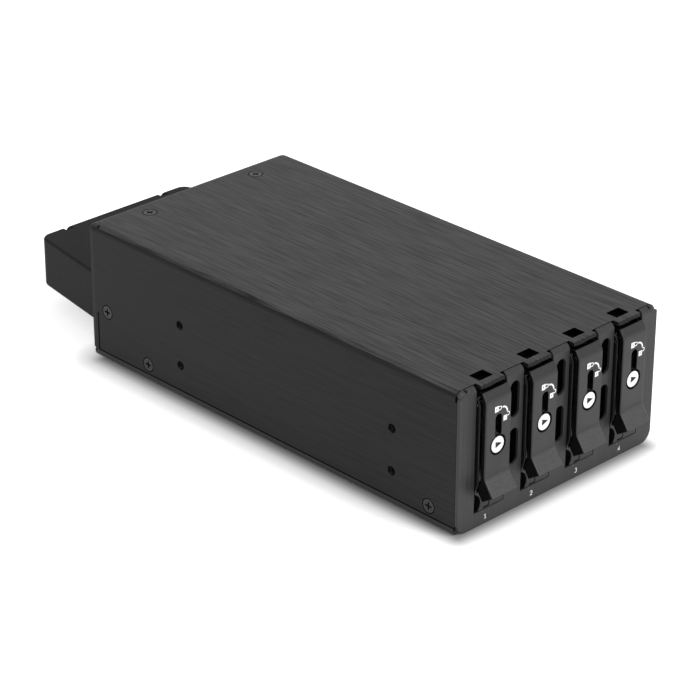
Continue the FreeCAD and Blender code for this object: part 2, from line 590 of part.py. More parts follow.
def make_front_plate():
    """Front plate: four openings, three slotted posts and tabs bent back at the top."""
    piece = Piece("front_plate")
    back = f"({FRONT} + front_sheet)"
    bend_z = "(body_height - tab_bend)"
    piece.box("plate", (f"-{HALF}", HALF), (FRONT, back), ("0", bend_z))
    piece.round("corners", "corner_round",
                piece.edges("y", x="low", z="low") + piece.edges("y", x="high", z="low"))
    knuckle = f"({HALF} - tab_bend)"
    piece.rod("bend", "x", (f"{FRONT} + tab_bend", bend_z), (f"-{knuckle}", knuckle), "tab_bend")
    for name, sign in SIDES:
        piece.ball(f"knuckle_{name}", (f"{sign} * {knuckle}", f"{FRONT} + tab_bend", bend_z), "tab_bend")
    piece.rod("bend_inside", "x", (f"{FRONT} + tab_bend", bend_z), (f"-{HALF}", HALF),
              "tab_bend - front_sheet", cut=True)
    piece.box("behind_tabs", (f"-{HALF}", HALF), (f"{FRONT} + tab_depth", f"{FRONT} + 3 * tab_bend"),
              (f"{bend_z} - 2 * tab_bend", "body_height + 1"), cut=True)
    piece.box("under_tabs", (f"-{HALF}", HALF), (back, f"{FRONT} + 3 * tab_bend"),
              (f"{bend_z} - 2 * tab_bend", bend_z), cut=True)
    for name, sign in SIDES:
        flange = on_side(sign, f"{INSIDE} - front_sheet", INSIDE)
        flange_end = f"{FRONT} + pan_wall_front - edge_gap"
        piece.box(f"flange_{name}", flange, (f"{back} - front_sheet / 2", flange_end),
                  (f"{SEAM} + edge_gap", f"{UNDER_TOP} - cover_bend - tab_bend"))
        screw_hole(piece, f"screw_{name}", "x", FRONT_SCREW, on_side(sign, f"{INSIDE} - 2", f"{INSIDE} + 1"))
        relief = (f"({sign} * ({HALF} - column + tab_width + relief_radius))", f"({FRONT} + front_sheet)")
        piece.rod(f"relief_{name}", "z", relief, (f"{bend_z} - relief_radius", "body_height + 1"),
                  "relief_radius", cut=True)
    for bay in range(BAYS):
        middle = bay_middle(bay)
        piece.box(f"opening_{bay}", around(middle, "bay_opening"), THROUGH_TABS,
                  ("strip_height", "body_height + 1"), cut=True)
        for i, centre in enumerate(lens_places(middle)):
            piece.rod(f"lens_hole_{bay}_{i}", "y", centre, THROUGH_FRONT, "lens_radius", cut=True)
    for post in range(1, BAYS):
        for level in (0, 1):
            low = f"({VENT_LOW} + {level} * vent_step)"
            piece.slot(f"vent_{post}_{level}", f"({post - BAYS / 2} * {PITCH})",
                       (low, f"({low} + vent_length)"), "vent_width", THROUGH_FRONT)


def lens_places(middle):
    """Two status lenses under a bay: one near the opening, one near the underside."""
    return [(f"({middle} - {level}_lens_side)", f"{level}_lens_height") for level in ("upper", "lower")]


def make_lenses():
    """Status lenses in the front plate's lower strip."""
    piece = Piece("status_lenses")
    for bay in range(BAYS):
        for i, centre in enumerate(lens_places(bay_middle(bay))):
            piece.rod(f"lens_{bay}_{i}", "y", centre, (FRONT, f"{FRONT} + lens_length"), "lens_radius")


def make_rear_panel():
    """Rear panel: a flanged plate behind the cover's rim, cut out for ports and for the blower."""
    piece = Piece("rear_panel")
    start = f"({REAR} - panel_flange)"
    piece.box("sheet", (f"-{INSIDE}", INSIDE), (start, PANEL_FACE), (SEAM, PANEL_TOP))
    rear_edges = piece.edges("z", x="low", y="high") + piece.edges("z", x="high", y="high")
    piece.round("rear_bends", "rear_bend - cover_sheet - nest_gap",
                rear_edges + piece.edges("x", y="high", z="high"))
    piece.round("long_bends", "cover_bend - cover_sheet",
                piece.edges("y", x="low", z="high") + piece.edges("y", x="high", z="high"))
    inner = f"({INSIDE} - panel_sheet)"
    piece.box("hollow", (f"-{inner}", inner), (f"{start} - 1", f"{PANEL_FACE} - panel_sheet"),
              (f"{SEAM} - 1", f"{PANEL_TOP} - panel_sheet"), cut=True)
    through = (f"{PANEL_FACE} - 2 * panel_sheet", f"{PANEL_FACE} + 1")
    piece.box("air_opening", around("0", "blower_width + 2 * impeller_gap"), through,
              ("hood_low + hood_wall", f"{HOOD_TOP} - hood_wall"), cut=True)
    play = (f"{PORT_LOW} - port_play", f"{PORT_HIGH} + port_play")
    for port in range(PORTS):
        wide = around(port_middle(port), "port_width + 2 * port_play")
        piece.box(f"port_{port}", wide, through, play, cut=True)
    piece.box("power", around("power_side", "power_width + 2 * port_play"), through, play, cut=True)
    for name, sign in SIDES:
        screw_hole(piece, f"screw_{name}", "x", REAR_SCREW, on_side(sign, f"{inner} - 1", f"{INSIDE} + 1"))
        screw_hole(piece, f"top_screw_{name}", "z", top_screw(sign),
                   (f"{PANEL_TOP} - 2 * panel_sheet", f"{PANEL_TOP} + 1"))


def port_middle(port):
    return f"({port} * port_pitch - port_first)"


def make_hood():
    """Rear hood: a tapering moulded shell over the blower, with a slotted end."""
    piece = Piece("rear_hood")
    low_high = ("hood_low", HOOD_TOP)
    piece.prism("block", "z", low_high, tapered(PANEL_FACE, HOOD_END, "0"))
    piece.round("corners", "hood_corner", piece.edges("z", y="high"))
    piece.round("edges", "hood_edge",
                piece.edges("x", y="high", z="high") + piece.edges("x", y="high", z="low"))
    piece.prism("hollow", "z", ("hood_low + hood_wall", f"{HOOD_TOP} - hood_wall"),
                tapered(f"{PANEL_FACE} - 1", f"{HOOD_END} - hood_wall", "hood_wall"), cut=True)
    first = f"(-({OUTLET_SLOTS - 1} / 2 * grille_pitch))"
    through = (f"{HOOD_END} - 2 * hood_wall", f"{HOOD_END} + 1")
    slot = piece.box("outlet", around(first, "grille_slot"), through,
                     ("hood_low + grille_margin", f"{HOOD_TOP} - grille_margin"), cut=True)
    piece.row("outlets", slot, "x", "grille_pitch", OUTLET_SLOTS)
    for name, sign in SIDES:
        middle = f"({sign} * hood_notch)"
        low, high = around(middle, "notch_width")
        piece.prism(f"notch_{name}", "y", through,
                    [(low, HOOD_TOP), (middle, f"{HOOD_TOP} - notch_depth"), (high, HOOD_TOP),
                     (middle, f"{HOOD_TOP} + notch_depth")], cut=True)


def tapered(start, end, inset):
    """The hood's plan, less a wall on both sides."""
    wide, narrow = f"(hood_front / 2 - {inset})", f"(hood_rear / 2 - {inset})"
    return [(f"-{wide}", start), (wide, start), (narrow, end), (f"-{narrow}", end)]


def make_guides():
    """Upper and lower guide: a plate each, with rails beside the trays and ledges under them."""
    wide = f"({PAN_INSIDE} - edge_gap)"
    length = (GUIDES_FRONT, BACKPLANE)
    lower, upper = Piece("lower_guide"), Piece("upper_guide")
    lower.box("plate", (f"-{wide}", wide), length, ("pan_sheet", "pan_sheet + guide_sheet"))
    upper.box("plate", (f"-{wide}", wide), length, (f"{UNDER_TOP} - guide_sheet", UNDER_TOP))
    for bay in range(BAYS):
        for name, side in SIDES:
            middle = bay_middle(bay)
            edge = f"({TRAY_SIDE} + tray_gap)"
            rail = [f"{middle} + {end}" for end in on_side(side, edge, f"{edge} + guide_sheet")]
            ledge = [f"{middle} + {end}" for end in on_side(side, f"{edge} - ledge", f"{edge} + guide_sheet")]
            lower.box(f"ledge_{bay}_{name}", ledge, length, ("pan_sheet + guide_sheet", "strip_height"))
            lower.box(f"rail_{bay}_{name}", rail, length, ("strip_height", "strip_height + rail_height"))
            upper.box(f"rail_{bay}_{name}", rail, length,
                      (f"{UNDER_TOP} - guide_sheet - rail_height", f"{UNDER_TOP} - guide_sheet"))


def make_backplane():
    """Backplane with air slots, and on it one upright socket for each drive."""
    board = Piece("backplane_board")
    board.box("board", around("0", f"2 * ({PAN_INSIDE} - edge_gap)"), (BACKPLANE, f"{BACKPLANE} + board"),
              ("pan_sheet", UNDER_TOP))
    through = (f"{BACKPLANE} - 1", f"{BACKPLANE} + board + 1")
    for post in range(1, BAYS):
        board.slot(f"air_{post}", f"({post - BAYS / 2} * {PITCH})", ("air_low", "(air_low + air_length)"),
                   "air_slot", through)
    sockets = Piece("drive_sockets")
    for bay in range(BAYS):
        middle = f"({bay_middle(bay)} + {TRAY_WALL_INSIDE} + module_pocket / 2)"
        sockets.box(f"socket_{bay}", around(middle, "socket_width"), (SOCKET_FRONT, BACKPLANE),
                    around(MODULE_MIDDLE, "module_width + 2 * socket_slot"))
        sockets.box(f"slot_{bay}", around(middle, "socket_slot"),
                    (f"{SOCKET_FRONT} - 1", f"{SOCKET_FRONT} + socket_bite"),
                    around(MODULE_MIDDLE, "module_width"), cut=True)


def make_ports():
    """Port board on two strips, with the data ports and the power inlet at its rear."""
    start, end = f"({BACKPLANE} + board)", f"({PANEL_FACE} - panel_sheet - edge_gap)"
    board = Piece("port_board")
    wide = around("0", f"2 * ({PAN_INSIDE} - edge_gap)")
    board.box("board", wide, (start, end), ("port_board_height", PORT_LOW))
    strips = Piece("board_strips")
    for name, sign in SIDES:
        strips.box(f"strip_{name}", on_side(sign, f"{PAN_INSIDE} - strip_width", PAN_INSIDE),
                   (start, f"{REAR} - panel_flange - edge_gap"),
                   ("port_board_height - strip_sheet", "port_board_height"))
    middle = f"({PORT_LOW} + port_height / 2)"
    inside = (f"{REAR} - port_depth", f"{REAR} - 3 * port_wall")
    ports = Piece("data_ports")
    for port in range(PORTS):
        connector(ports, f"port_{port}", port_middle(port), "port_width")
        ports.box(f"tongue_{port}", around(port_middle(port), "port_width - 6 * port_wall"), inside,
                  around(middle, "tongue_sheet"))
    power = Piece("power_inlet")
    connector(power, "inlet", "power_side", "power_width")
    for pin in range(POWER_PINS):
        place = f"(power_side + {pin - (POWER_PINS - 1) / 2} * power_width / {POWER_PINS + 1})"
        power.box(f"pin_{pin}", around(place, "port_wall"), inside, around(middle, "port_wall"))


def connector(piece, name, middle, width):
    """A connector's shell, open to the rear."""
    end = f"({REAR} - port_wall)"
    piece.box(name, around(middle, width), (f"{REAR} - port_depth", end), (PORT_LOW, PORT_HIGH))
    piece.box(f"{name}_mouth", around(middle, f"{width} - 2 * port_wall"),
              (f"{REAR} - port_depth / 2", f"{REAR} + 1"),
              (f"{PORT_LOW} + port_wall", f"{PORT_HIGH} - port_wall"), cut=True)


def make_blower():
    """Radial blower that lies flat on four posts, half of it in the hood."""
    half = "(blower_width / 2)"
    ends = (f"({BLOWER_MIDDLE} - {half})", f"({BLOWER_MIDDLE} + {half})")
    inner = (f"({BLOWER_LOW} + blower_sheet)", f"({BLOWER_HIGH} - blower_sheet)")
    axis = ("0", BLOWER_MIDDLE)
    scroll = "(impeller_radius + scroll_gap)"
    case = Piece("blower_housing")
    case.box("case", (f"-{half}", half), ends, (BLOWER_LOW, BLOWER_HIGH))
    case.round("corners", "blower_corner",
               case.edges("z", x="low", y="low") + case.edges("z", x="high", y="low"))
    case.rod("scroll", "z", axis, inner, scroll, cut=True)
    case.box("outlet", ("scroll_gap", scroll), (BLOWER_MIDDLE, f"{ends[1]} + 1"), inner, cut=True)
    case.rod("inlet", "z", axis, (f"{BLOWER_HIGH} - 2 * blower_sheet", f"{BLOWER_HIGH} + 1"),
             "blower_inlet", cut=True)
    stator = (f"{inner[0]} - blower_sheet / 2", f"{inner[0]} + stator_height")
    case.rod("stator", "z", axis, stator, "stator_radius")
    case.rod("shaft", "z", axis, (inner[0], f"{inner[1]} - impeller_gap"), "shaft_radius")
    posts = Piece("blower_posts")
    for name, sign in SIDES:
        for i, y in enumerate((f"({ends[0]} + blower_corner)", BLOWER_MIDDLE)):
            posts.rod(f"post_{name}_{i}", "z", (f"{sign} * ({half} - post_inset)", y),
                      ("pan_sheet", BLOWER_LOW), "blower_post")


def make_impeller():
    """Impeller: a hub over the stator, a disc and blades that lean back."""
    low = f"({BLOWER_LOW} + blower_sheet + impeller_gap)"
    high = f"({BLOWER_HIGH} - blower_sheet - impeller_gap)"
    roof = f"({BLOWER_LOW} + blower_sheet + stator_height + impeller_gap)"
    piece = Piece("blower_impeller", y=BLOWER_MIDDLE)
    piece.rod("hub", "z", ("0", "0"), (low, high), "hub_radius")
    root, tip = "(hub_radius - blade_sheet / 2)", "(impeller_radius - blade_sheet)"
    blade = piece.prism("blade", "z", (low, high),
                        [(root, "-blade_sheet / 2"), (tip, "blade_sweep - blade_sheet / 2"),
                         (tip, "blade_sweep + blade_sheet / 2"), (root, "blade_sheet / 2")])
    piece.ring("blades", blade, BLADES)
    disc = around(f"(({low} + {high}) / 2)", "blade_sheet")
    piece.rod("disc", "z", ("0", "0"), disc, "impeller_radius - scroll_gap")
    piece.rod("hollow", "z", ("0", "0"), (f"{low} - 1", roof), "stator_radius + impeller_gap", cut=True)
    piece.rod("bore", "z", ("0", "0"), (f"{low} - 1", f"{high} + 1"), "shaft_radius + pin_gap", cut=True)


def make_screws():
    """Screws of the cover, in one group for each face."""
    for name, sign in SIDES:
        piece = Piece(f"{name}_side_screws")
        for i, centre in enumerate(SIDE_SCREWS):
            screw(piece, f"screw_{i}", "x", centre, sign, HALF)
    piece = Piece("top_screws")
    for name, sign in SIDES:
        screw(piece, name, "z", top_screw(sign), 1, "body_height")


def make_tray(bay):
    """Tray: cheeks, foot and lock plate in front, an open frame for the drive behind."""
    piece = Piece(f"tray_{bay + 1}_frame", x=bay_middle(bay))
    wide = (f"-{TRAY_SIDE}", TRAY_SIDE)
    piece.box("cross_wall", wide, (CROSS_WALL, CROSS_BACK), (TRAY_LOW, TRAY_HIGH))
    piece.box("side_wall", (f"-{TRAY_SIDE}", TRAY_WALL_INSIDE), (CROSS_WALL, TRAY_END), (TRAY_LOW, TRAY_HIGH))
    piece.box("lower_runner", wide, (CROSS_WALL, TRAY_END), (TRAY_LOW, TRAY_INNER_LOW))
    piece.box("upper_runner", wide, (CROSS_WALL, TRAY_END), (TRAY_INNER_HIGH, TRAY_HIGH))
    brow = f"({FRONT} - cheek_proud)"
    foot_top = f"({TRAY_LOW} + foot_height)"
    round_y, round_z = f"({brow} + cheek_round)", f"({TRAY_HIGH} - cheek_round)"
    for name, sign in SIDES:
        cheek = on_side(sign, f"{TRAY_SIDE} - cheek", TRAY_SIDE)
        behind = f"({CROSS_WALL} + tray_wall / 2)"
        piece.prism(f"cheek_{name}", "x", cheek,
                    [(FRONT, TRAY_LOW), (behind, TRAY_LOW), (behind, TRAY_HIGH), (round_y, TRAY_HIGH),
                     (brow, round_z), (brow, f"{foot_top} + cheek_rise"), (FRONT, foot_top)])
        piece.rod(f"cheek_round_{name}", "x", (round_y, round_z), cheek, "cheek_round")
    piece.box("foot", wide, (FRONT, f"{FRONT} + foot_depth"), (TRAY_LOW, foot_top))
    piece.box("lock_plate", wide, (LOCK_PLATE, f"{LOCK_PLATE} + lock_plate"),
              (TRAY_LOW, f"({HINGE_Z} - plate_drop)"))
    piece.rod("finger_notch", "y", ("-notch_side", "strip_height + notch_rise"),
              (f"{FRONT} - 2", f"{FRONT} + foot_depth - lock_plate"), "foot_notch", cut=True)
    hook = "(hook_side - hook_width)"
    grooved = (f"{FRONT} - 1", f"{FRONT} + hook_depth")
    hook_z = f"({TRAY_LOW} + hook_low)"
    piece.box("hook_upright", (hook, "hook_side"), grooved, (hook_z, f"{hook_z} + hook_rise"), cut=True)
    piece.box("hook_run", (f"{hook} - hook_length", "hook_side"), grooved,
              (hook_z, f"{hook_z} + hook_width"), cut=True)
    play = "(cam_width / 2 + cam_play)"
    piece.box("cam_opening", (f"-{play}", "cam_reach + cam_play / 2"),
              (f"{LOCK_PLATE} - 1", f"{LOCK_PLATE} + lock_plate + 1"),
              around("lock_height", f"2 * {play}"), cut=True)
    piece.rod("pin_hole", "x", (HINGE_Y, HINGE_Z), (f"-{TRAY_SIDE} - 1", f"{TRAY_SIDE} + 1"),
              "pin_radius", cut=True)
    centre = (f"({MODULE_FRONT} + post_radius)", MODULE_MIDDLE)
    piece.rod("post", "x", centre, (f"-{TRAY_SIDE}", f"{TRAY_WALL_INSIDE} + post_rise"), "post_radius")
    piece.rod("post_bore", "x", centre, (f"-{TRAY_SIDE} - 1", f"{TRAY_SIDE}"), "drive_screw_shank", cut=True)
    drive_screw = Piece(f"drive_screw_{bay + 1}", x=bay_middle(bay))
    seat = f"({TRAY_WALL_INSIDE} + post_rise)"
    drive_screw.rod("head", "x", centre, (seat, f"{seat} + drive_screw_rise"), "drive_screw_head")
    drive_screw.rod("shank", "x", centre, (f"{seat} - post_rise", seat), "drive_screw_shank")
    pin = Piece(f"hinge_pin_{bay + 1}", x=bay_middle(bay))
    pin.rod("pin", "x", (HINGE_Y, HINGE_Z), around("0", f"2 * ({TRAY_SIDE} - pin_gap)"), "pin_radius")


def make_cooling(bay):
    """Heat plate with fins along the drive, and the thermal pad on its inner face."""
    plate = Piece(f"tray_{bay + 1}_heat_plate", x=bay_middle(bay))
    length = (CROSS_BACK, TRAY_END)
    height = (TRAY_INNER_LOW, TRAY_INNER_HIGH)
    plate.box("base", (PLATE_INSIDE, f"{PLATE_INSIDE} + plate_base"), length, height)
    first = f"({MODULE_MIDDLE} - {(FINS - 1) / 2} * fin_pitch)"
    reach = (f"{PLATE_INSIDE} + plate_base / 2", TRAY_SIDE)
    fin = plate.box("fin", reach, length, around(first, "fin_sheet"))
    plate.row("fins", fin, "z", "fin_pitch", FINS)
    pad = Piece(f"tray_{bay + 1}_pad", x=bay_middle(bay))
    pad.box("pad", (f"{PLATE_INSIDE} - pad", PLATE_INSIDE),
            (f"{length[0]} + pad_margin", f"{length[1]} - pad_margin"),
            (f"{height[0]} + pad_margin", f"{height[1]} - pad_margin"))


def make_lever(bay):
    """Lever: a bent channel with a finger grip, a bush for the lock and a latch claw."""
    piece = Piece(f"lever_{bay + 1}", x=bay_middle(bay))
    half = "(lever_width / 2)"
    inner = f"({half} - lever_sheet)"
    grip_y, grip_z = f"({LEVER_FACE} - grip_out)", "(lever_fold - grip_drop)"
    top_y = f"({LEVER_FACE} + top_slant)"
    flank = f"({LEVER_FACE} + lever_flank)"
    slope = "sqrt(grip_out ^ 2 + grip_drop ^ 2)"
    web_z = f"({grip_z} - web_drop)"
    piece.prism("channel", "x", (f"-{half}", half),
                [(top_y, LEVER_TOP), (LEVER_FACE, LEVER_BEND), (LEVER_FACE, "lever_fold"), (grip_y, grip_z),
                 (f"{grip_y} + web_back", web_z), (f"{FRONT} + web_reach", f"{grip_z} + web_rise"),
                 (flank, "lever_fold - web_rise / 2"), (flank, LEVER_BEND),
                 (f"{top_y} + top_edge", LEVER_TOP)])
    face = -sheet.get("body_length") / 2 - sheet.get("lever_proud")
    piece.round("folds", "fold_round", piece.edges("x", y=face))
    top, low = face + sheet.get("top_slant"), sheet.get("lever_fold") - sheet.get("grip_drop")
    piece.round("flanks", "flank_round", piece.flank_edges(top + 0.01, low - 0.01))
    behind = f"({HINGE_Y} + {HUB})"
    piece.prism("hollow", "x", (f"-{inner}", inner),
                [(f"{top_y} + top_edge", LEVER_TOP), (LEVER_BACK, LEVER_BEND), (LEVER_BACK, "lever_fold"),
                 (f"{grip_y} + lever_sheet * grip_drop / {slope}",
                  f"{grip_z} - lever_sheet * grip_out / {slope}"),
                 (f"{grip_y} + lever_sheet", f"{web_z} - 1"), (behind, f"{web_z} - 1"),
                 (behind, f"{LEVER_TOP} + 1"), (f"{top_y} + top_edge", f"{LEVER_TOP} + 1")], cut=True)
    pivot = (HINGE_Y, HINGE_Z)
    for name, sign in SIDES:
        piece.prism(f"ear_{name}", "x", on_side(sign, inner, half),
                    [(f"{LEVER_BACK}", f"{HINGE_Z} - 3 * {HUB}"), (HINGE_Y, f"{HINGE_Z} - {HUB}"),
                     (HINGE_Y, f"{HINGE_Z} + {HUB}"), (f"{LEVER_BACK}", f"{HINGE_Z} + {HUB} / 2")])
    piece.rod("hub", "x", pivot, (f"-{half}", half), HUB)
    tip_y, tip_z = f"({FRONT} + claw_back)", f"({UNDER_TOP} - claw_gap)"
    piece.prism("claw", "x", around("0", "claw_width"),
                [(f"{HINGE_Y} - claw_sheet", HINGE_Z), (f"{HINGE_Y} + claw_sheet", HINGE_Z),
                 (f"{tip_y}", f"{tip_z} - claw_sheet"), (tip_y, tip_z), (f"{tip_y} - claw_sheet", tip_z)])
    piece.rod("pin_hole", "x", pivot, (f"-{half} - 1", f"{half} + 1"), "pin_radius + pin_gap", cut=True)
    lock = ("0", "lock_height")
    seat = f"({LEVER_BACK} + lock_seat)"
    bush = (f"{LEVER_BACK} - lever_sheet / 2", f"{LEVER_BACK} + bush_length")
    piece.rod("bush", "y", lock, bush, "lock_bush")
    piece.rod("ring", "y", lock, (f"{LEVER_FACE} - 1", seat), "lock_ring", cut=True)
    piece.rod("barrel_hole", "y", lock, (f"{LEVER_FACE} - 1", f"{LEVER_BACK} + bush_length + 1"),
              "lock_barrel + pin_gap", cut=True)
    piece.slot("slot", "0", ("(lock_height + slot_low)", "(lock_height + slot_high)"), "slot_width",
               (f"{LEVER_FACE} - 1", f"{LEVER_BACK} + 1"))


def make_lock(bay):
    """Lock: a disc with a triangular recess, its barrel, a washer and the cam behind the lock plate."""
    piece = Piece(f"lock_{bay + 1}", x=bay_middle(bay))
    lock = ("0", "lock_height")
    face = f"({LEVER_FACE} + 2 * pin_gap)"
    bush_end = f"({LEVER_BACK} + bush_length + pin_gap)"
    piece.rod("disc", "y", lock, (face, f"{LEVER_BACK} + lock_seat - pin_gap"), "lock_disc")
    piece.rod("barrel", "y", lock, (face, f"{CAM_FRONT} + cam_sheet"), "lock_barrel")
    piece.rod("washer", "y", lock, (bush_end, f"{bush_end} + lock_seat"), "lock_disc")
    cam_ends = (CAM_FRONT, f"{CAM_FRONT} + cam_sheet")
    piece.box("cam", ("0", "cam_reach"), cam_ends, around("lock_height", "cam_width"))
    piece.prism("mark", "y", (f"{face} - 1", f"{face} + mark_depth"),
                [("-mark_length / 3", "lock_height - mark_width / 2"), ("mark_length * 2 / 3", "lock_height"),
                 ("-mark_length / 3", "lock_height + mark_width / 2")], cut=True)


make_cover()
make_pan()
make_front_plate()
make_lenses()
make_rear_panel()
make_hood()
make_guides()
make_backplane()
make_ports()
make_blower()
make_impeller()
make_screws()
for bay in range(BAYS):
    make_tray(bay)
    make_cooling(bay)
    make_lever(bay)
    make_lock(bay)

document.recompute()
failed = [item.Label for item in document.Objects if {"Invalid", "Error"} & set(item.State)]
failed += [body.Label for body in BODIES if body.Shape.isNull() or not body.Shape.isValid()]
if failed:
    raise RuntimeError(f"failed: {failed}")
os.makedirs("parts", exist_ok=True)
for body in BODIES:
    body.Shape.exportStep(f"parts/{body.Label}.step")
    print(body.Label, len(body.Shape.Solids), round(body.Shape.Volume, 1))
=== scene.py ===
import math

import bmesh
import bpy
import numpy as np
from mathutils import Matrix, Vector


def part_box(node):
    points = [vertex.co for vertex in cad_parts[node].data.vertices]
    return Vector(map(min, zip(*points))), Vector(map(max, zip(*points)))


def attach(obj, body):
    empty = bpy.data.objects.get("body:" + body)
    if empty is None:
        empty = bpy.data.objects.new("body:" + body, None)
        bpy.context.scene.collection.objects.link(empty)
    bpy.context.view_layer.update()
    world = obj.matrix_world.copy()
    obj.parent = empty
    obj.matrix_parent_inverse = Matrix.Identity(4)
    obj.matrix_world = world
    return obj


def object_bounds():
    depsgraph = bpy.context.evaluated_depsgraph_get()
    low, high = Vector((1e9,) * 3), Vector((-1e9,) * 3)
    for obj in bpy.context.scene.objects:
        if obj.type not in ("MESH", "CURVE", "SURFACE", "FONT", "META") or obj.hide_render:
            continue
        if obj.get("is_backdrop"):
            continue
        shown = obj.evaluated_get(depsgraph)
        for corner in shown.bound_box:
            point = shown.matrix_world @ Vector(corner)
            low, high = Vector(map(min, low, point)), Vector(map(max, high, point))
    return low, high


bl_info = {
    "name": "Hot Swap Drive Cage",
    "version": (1, 0, 0),
    "blender": (4, 5, 0),
    "location": "View3D > Sidebar > Drive Cage",
    "description": "Finishes, printed marks and studio for a four-bay drive cage",
    "category": "Object",
}

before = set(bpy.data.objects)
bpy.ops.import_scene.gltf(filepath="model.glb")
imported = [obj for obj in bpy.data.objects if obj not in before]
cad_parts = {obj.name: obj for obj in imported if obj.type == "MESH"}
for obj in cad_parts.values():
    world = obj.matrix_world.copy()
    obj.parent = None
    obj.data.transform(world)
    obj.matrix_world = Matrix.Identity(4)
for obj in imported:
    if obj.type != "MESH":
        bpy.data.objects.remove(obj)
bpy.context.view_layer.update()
MM = 0.001
BAYS = range(1, 5)

# Linear colours: black for painted shade on the cage, and grey for the floor's painted contact shadow where
# the cage rests on it
SHADE_BLACK = (0.001,) * 3
CONTACT_SHADOW = (0.3,) * 3

# Where the levers' painted reflection on the grips and painted shade behind the face start
GRIP_OUT = 2.9 * MM  # grips' front to the flat face
GRIP_FOLD = (14.6 * MM, 13.8 * MM)  # heights where the flat face ends and the grip starts
LEVER_BEND = 35.2 * MM  # height where the top starts to lean back
TOP_SLOPE = 0.65  # lean of the top for each unit of height
FACE_SKIN = 0.3 * MM  # depth that still counts as the flat face

# Where the cover's painted shade in the latch windows starts, and where the locks turn black
WINDOW_DEPTH = (1.5 * MM, 7.5 * MM)  # latch windows, behind the front plate
WINDOW_HALF = 34.5 * MM  # middle to the far edge of the last window
TOP_SKIN = 0.05 * MM  # depth that still counts as the outer face

# Centres of the cover's screws in millimetres, along Y and Z for the sides, X and Y for the top
SIDE_SCREWS = ((61.9, 14.5), (45.2, 4.7), (-60.4, 4.7))
TOP_SCREWS = ((-19.4, 62.6), (19.4, 62.6))

# Point in metres that the lights look at
AIM = Vector((0, 0, 0.02))


def tone(*levels):
    """Linear colour of display levels from 0 to 255; one level gives a grey."""
    levels = np.array(levels * 3 if len(levels) == 1 else levels) / 255
    linear = np.where(levels <= 0.04045, levels / 12.92, ((levels + 0.055) / 1.055) ** 2.4)
    return tuple(float(x) for x in linear)


def colour(name, description, *levels):
    """Colour setting with its default as display levels."""
    return bpy.props.FloatVectorProperty(
        name=name, description=description, subtype="COLOR", size=3, min=0, max=1, default=tone(*levels))


def length(name, description, millimetres):
    """Length setting with its default in millimetres."""
    return bpy.props.FloatProperty(
        name=name, description=description, unit="LENGTH", default=millimetres * MM, precision=5)


def position(name, description, *default):
    """Place setting in metres."""
    return bpy.props.FloatVectorProperty(
        name=name, description=description, subtype="TRANSLATION", size=3, default=default)


class CageColours(bpy.types.PropertyGroup):
    """Colours of the cage's finishes."""

    # The top's colour is lighter than the sides': painted light on the lit top of the one bent sheet
    cover: colour("Cover", "Brushed black of the cover's top", 52, 52, 53)
    side: colour("Sides", "Brushed black of the cover's sides and the pan", 26, 26, 26)
    front: colour("Front plate", "Brushed black of the front plate", 46, 46, 46)
    lever: colour("Levers", "Satin black of the levers", 24, 24, 25)
    # Grips: a lighter colour that paints the floor's reflection on them
    grip: colour("Grips", "Satin black of the levers' grips, rubbed lighter", 58, 58, 58)
    tray: colour("Trays", "Gloss black of the trays' cheeks", 16, 16, 17)
    hood: colour("Hood", "Matt black of the moulded hood", 15, 15, 15)
    inside: colour("Inside", "Black of the mouldings inside", 18, 18, 19)
    screw: colour("Screws", "Black oxide of the screws", 20, 20, 21)
    panel: colour("Rear panel", "Plated steel of the rear panel", 168, 170, 172)
    bright: colour("Lock discs", "Bright metal of the lock discs", 236, 236, 234)
    # Lock recess: black paint in the recess, and painted shade on the rims and barrels of the discs
    recess: colour("Lock recess", "Paint in the recess of the lock discs", 10, 10, 10)
    mark: colour("Marks", "White print on the levers and the front plate", 248, 248, 248)
    heat_plate: colour("Heat plate", "Extruded aluminium of the heat plates", 178, 180, 184)
    pad: colour("Thermal pad", "Soft pad between drive and heat plate", 128, 140, 160)
    board: colour("Boards", "Solder mask of the circuit boards", 18, 66, 44)
    contact: colour("Contacts", "Gold of the contacts", 214, 170, 88)
    gap: colour("Gaps", "Shadow in the gaps round the screws and under the cover", 4, 4, 4)
    lens: colour("Lenses", "Status lenses when they are off", 14, 14, 15)
    floor: colour("Floor", "Pale studio floor", 244, 244, 244)


class CagePrint(bpy.types.PropertyGroup):
    """Sizes of the printed marks, the dark gaps and the contacts."""

    ink: length("Ink", "How far the print stands on the surface", 0.02)
    number_height: length("Number height", "Height of a bay number", 1.15)
    number_stroke: length("Number stroke", "Width of a bay number's strokes", 0.2)
    number_side: length("Number side", "Bay's middle to the middle of its number", -1.1)
    number_low: length("Number low", "Underside to the foot of a bay number", 1.4)
    mark_stroke: length("Mark stroke", "Width of the thin strokes of the lock marks", 0.22)
    sweep_stroke: length("Sweep stroke", "Width of the arc between the two padlocks", 0.42)
    padlock_stroke: length("Padlock stroke", "Width of the strokes of a padlock's case", 0.48)
    finger: length("Finger", "Width of a contact finger", 0.3)
    gap_radius: length("Gap radius", "Radius of the gap round a countersunk head", 1.98)
    gap_width: length("Gap width", "Width of the gap round a countersunk head", 0.24)
    seam_width: length("Seam width", "Width of the gap under the cover's sides", 0.34)
    seam_front: length("Seam front", "Cover's front to the front end of that gap", 1.25)
    seam_rear: length("Seam rear", "Cover's rear to the rear end of that gap", 4)
    seam_drop: length("Seam drop", "Fall of that gap at its front end", 0.9)


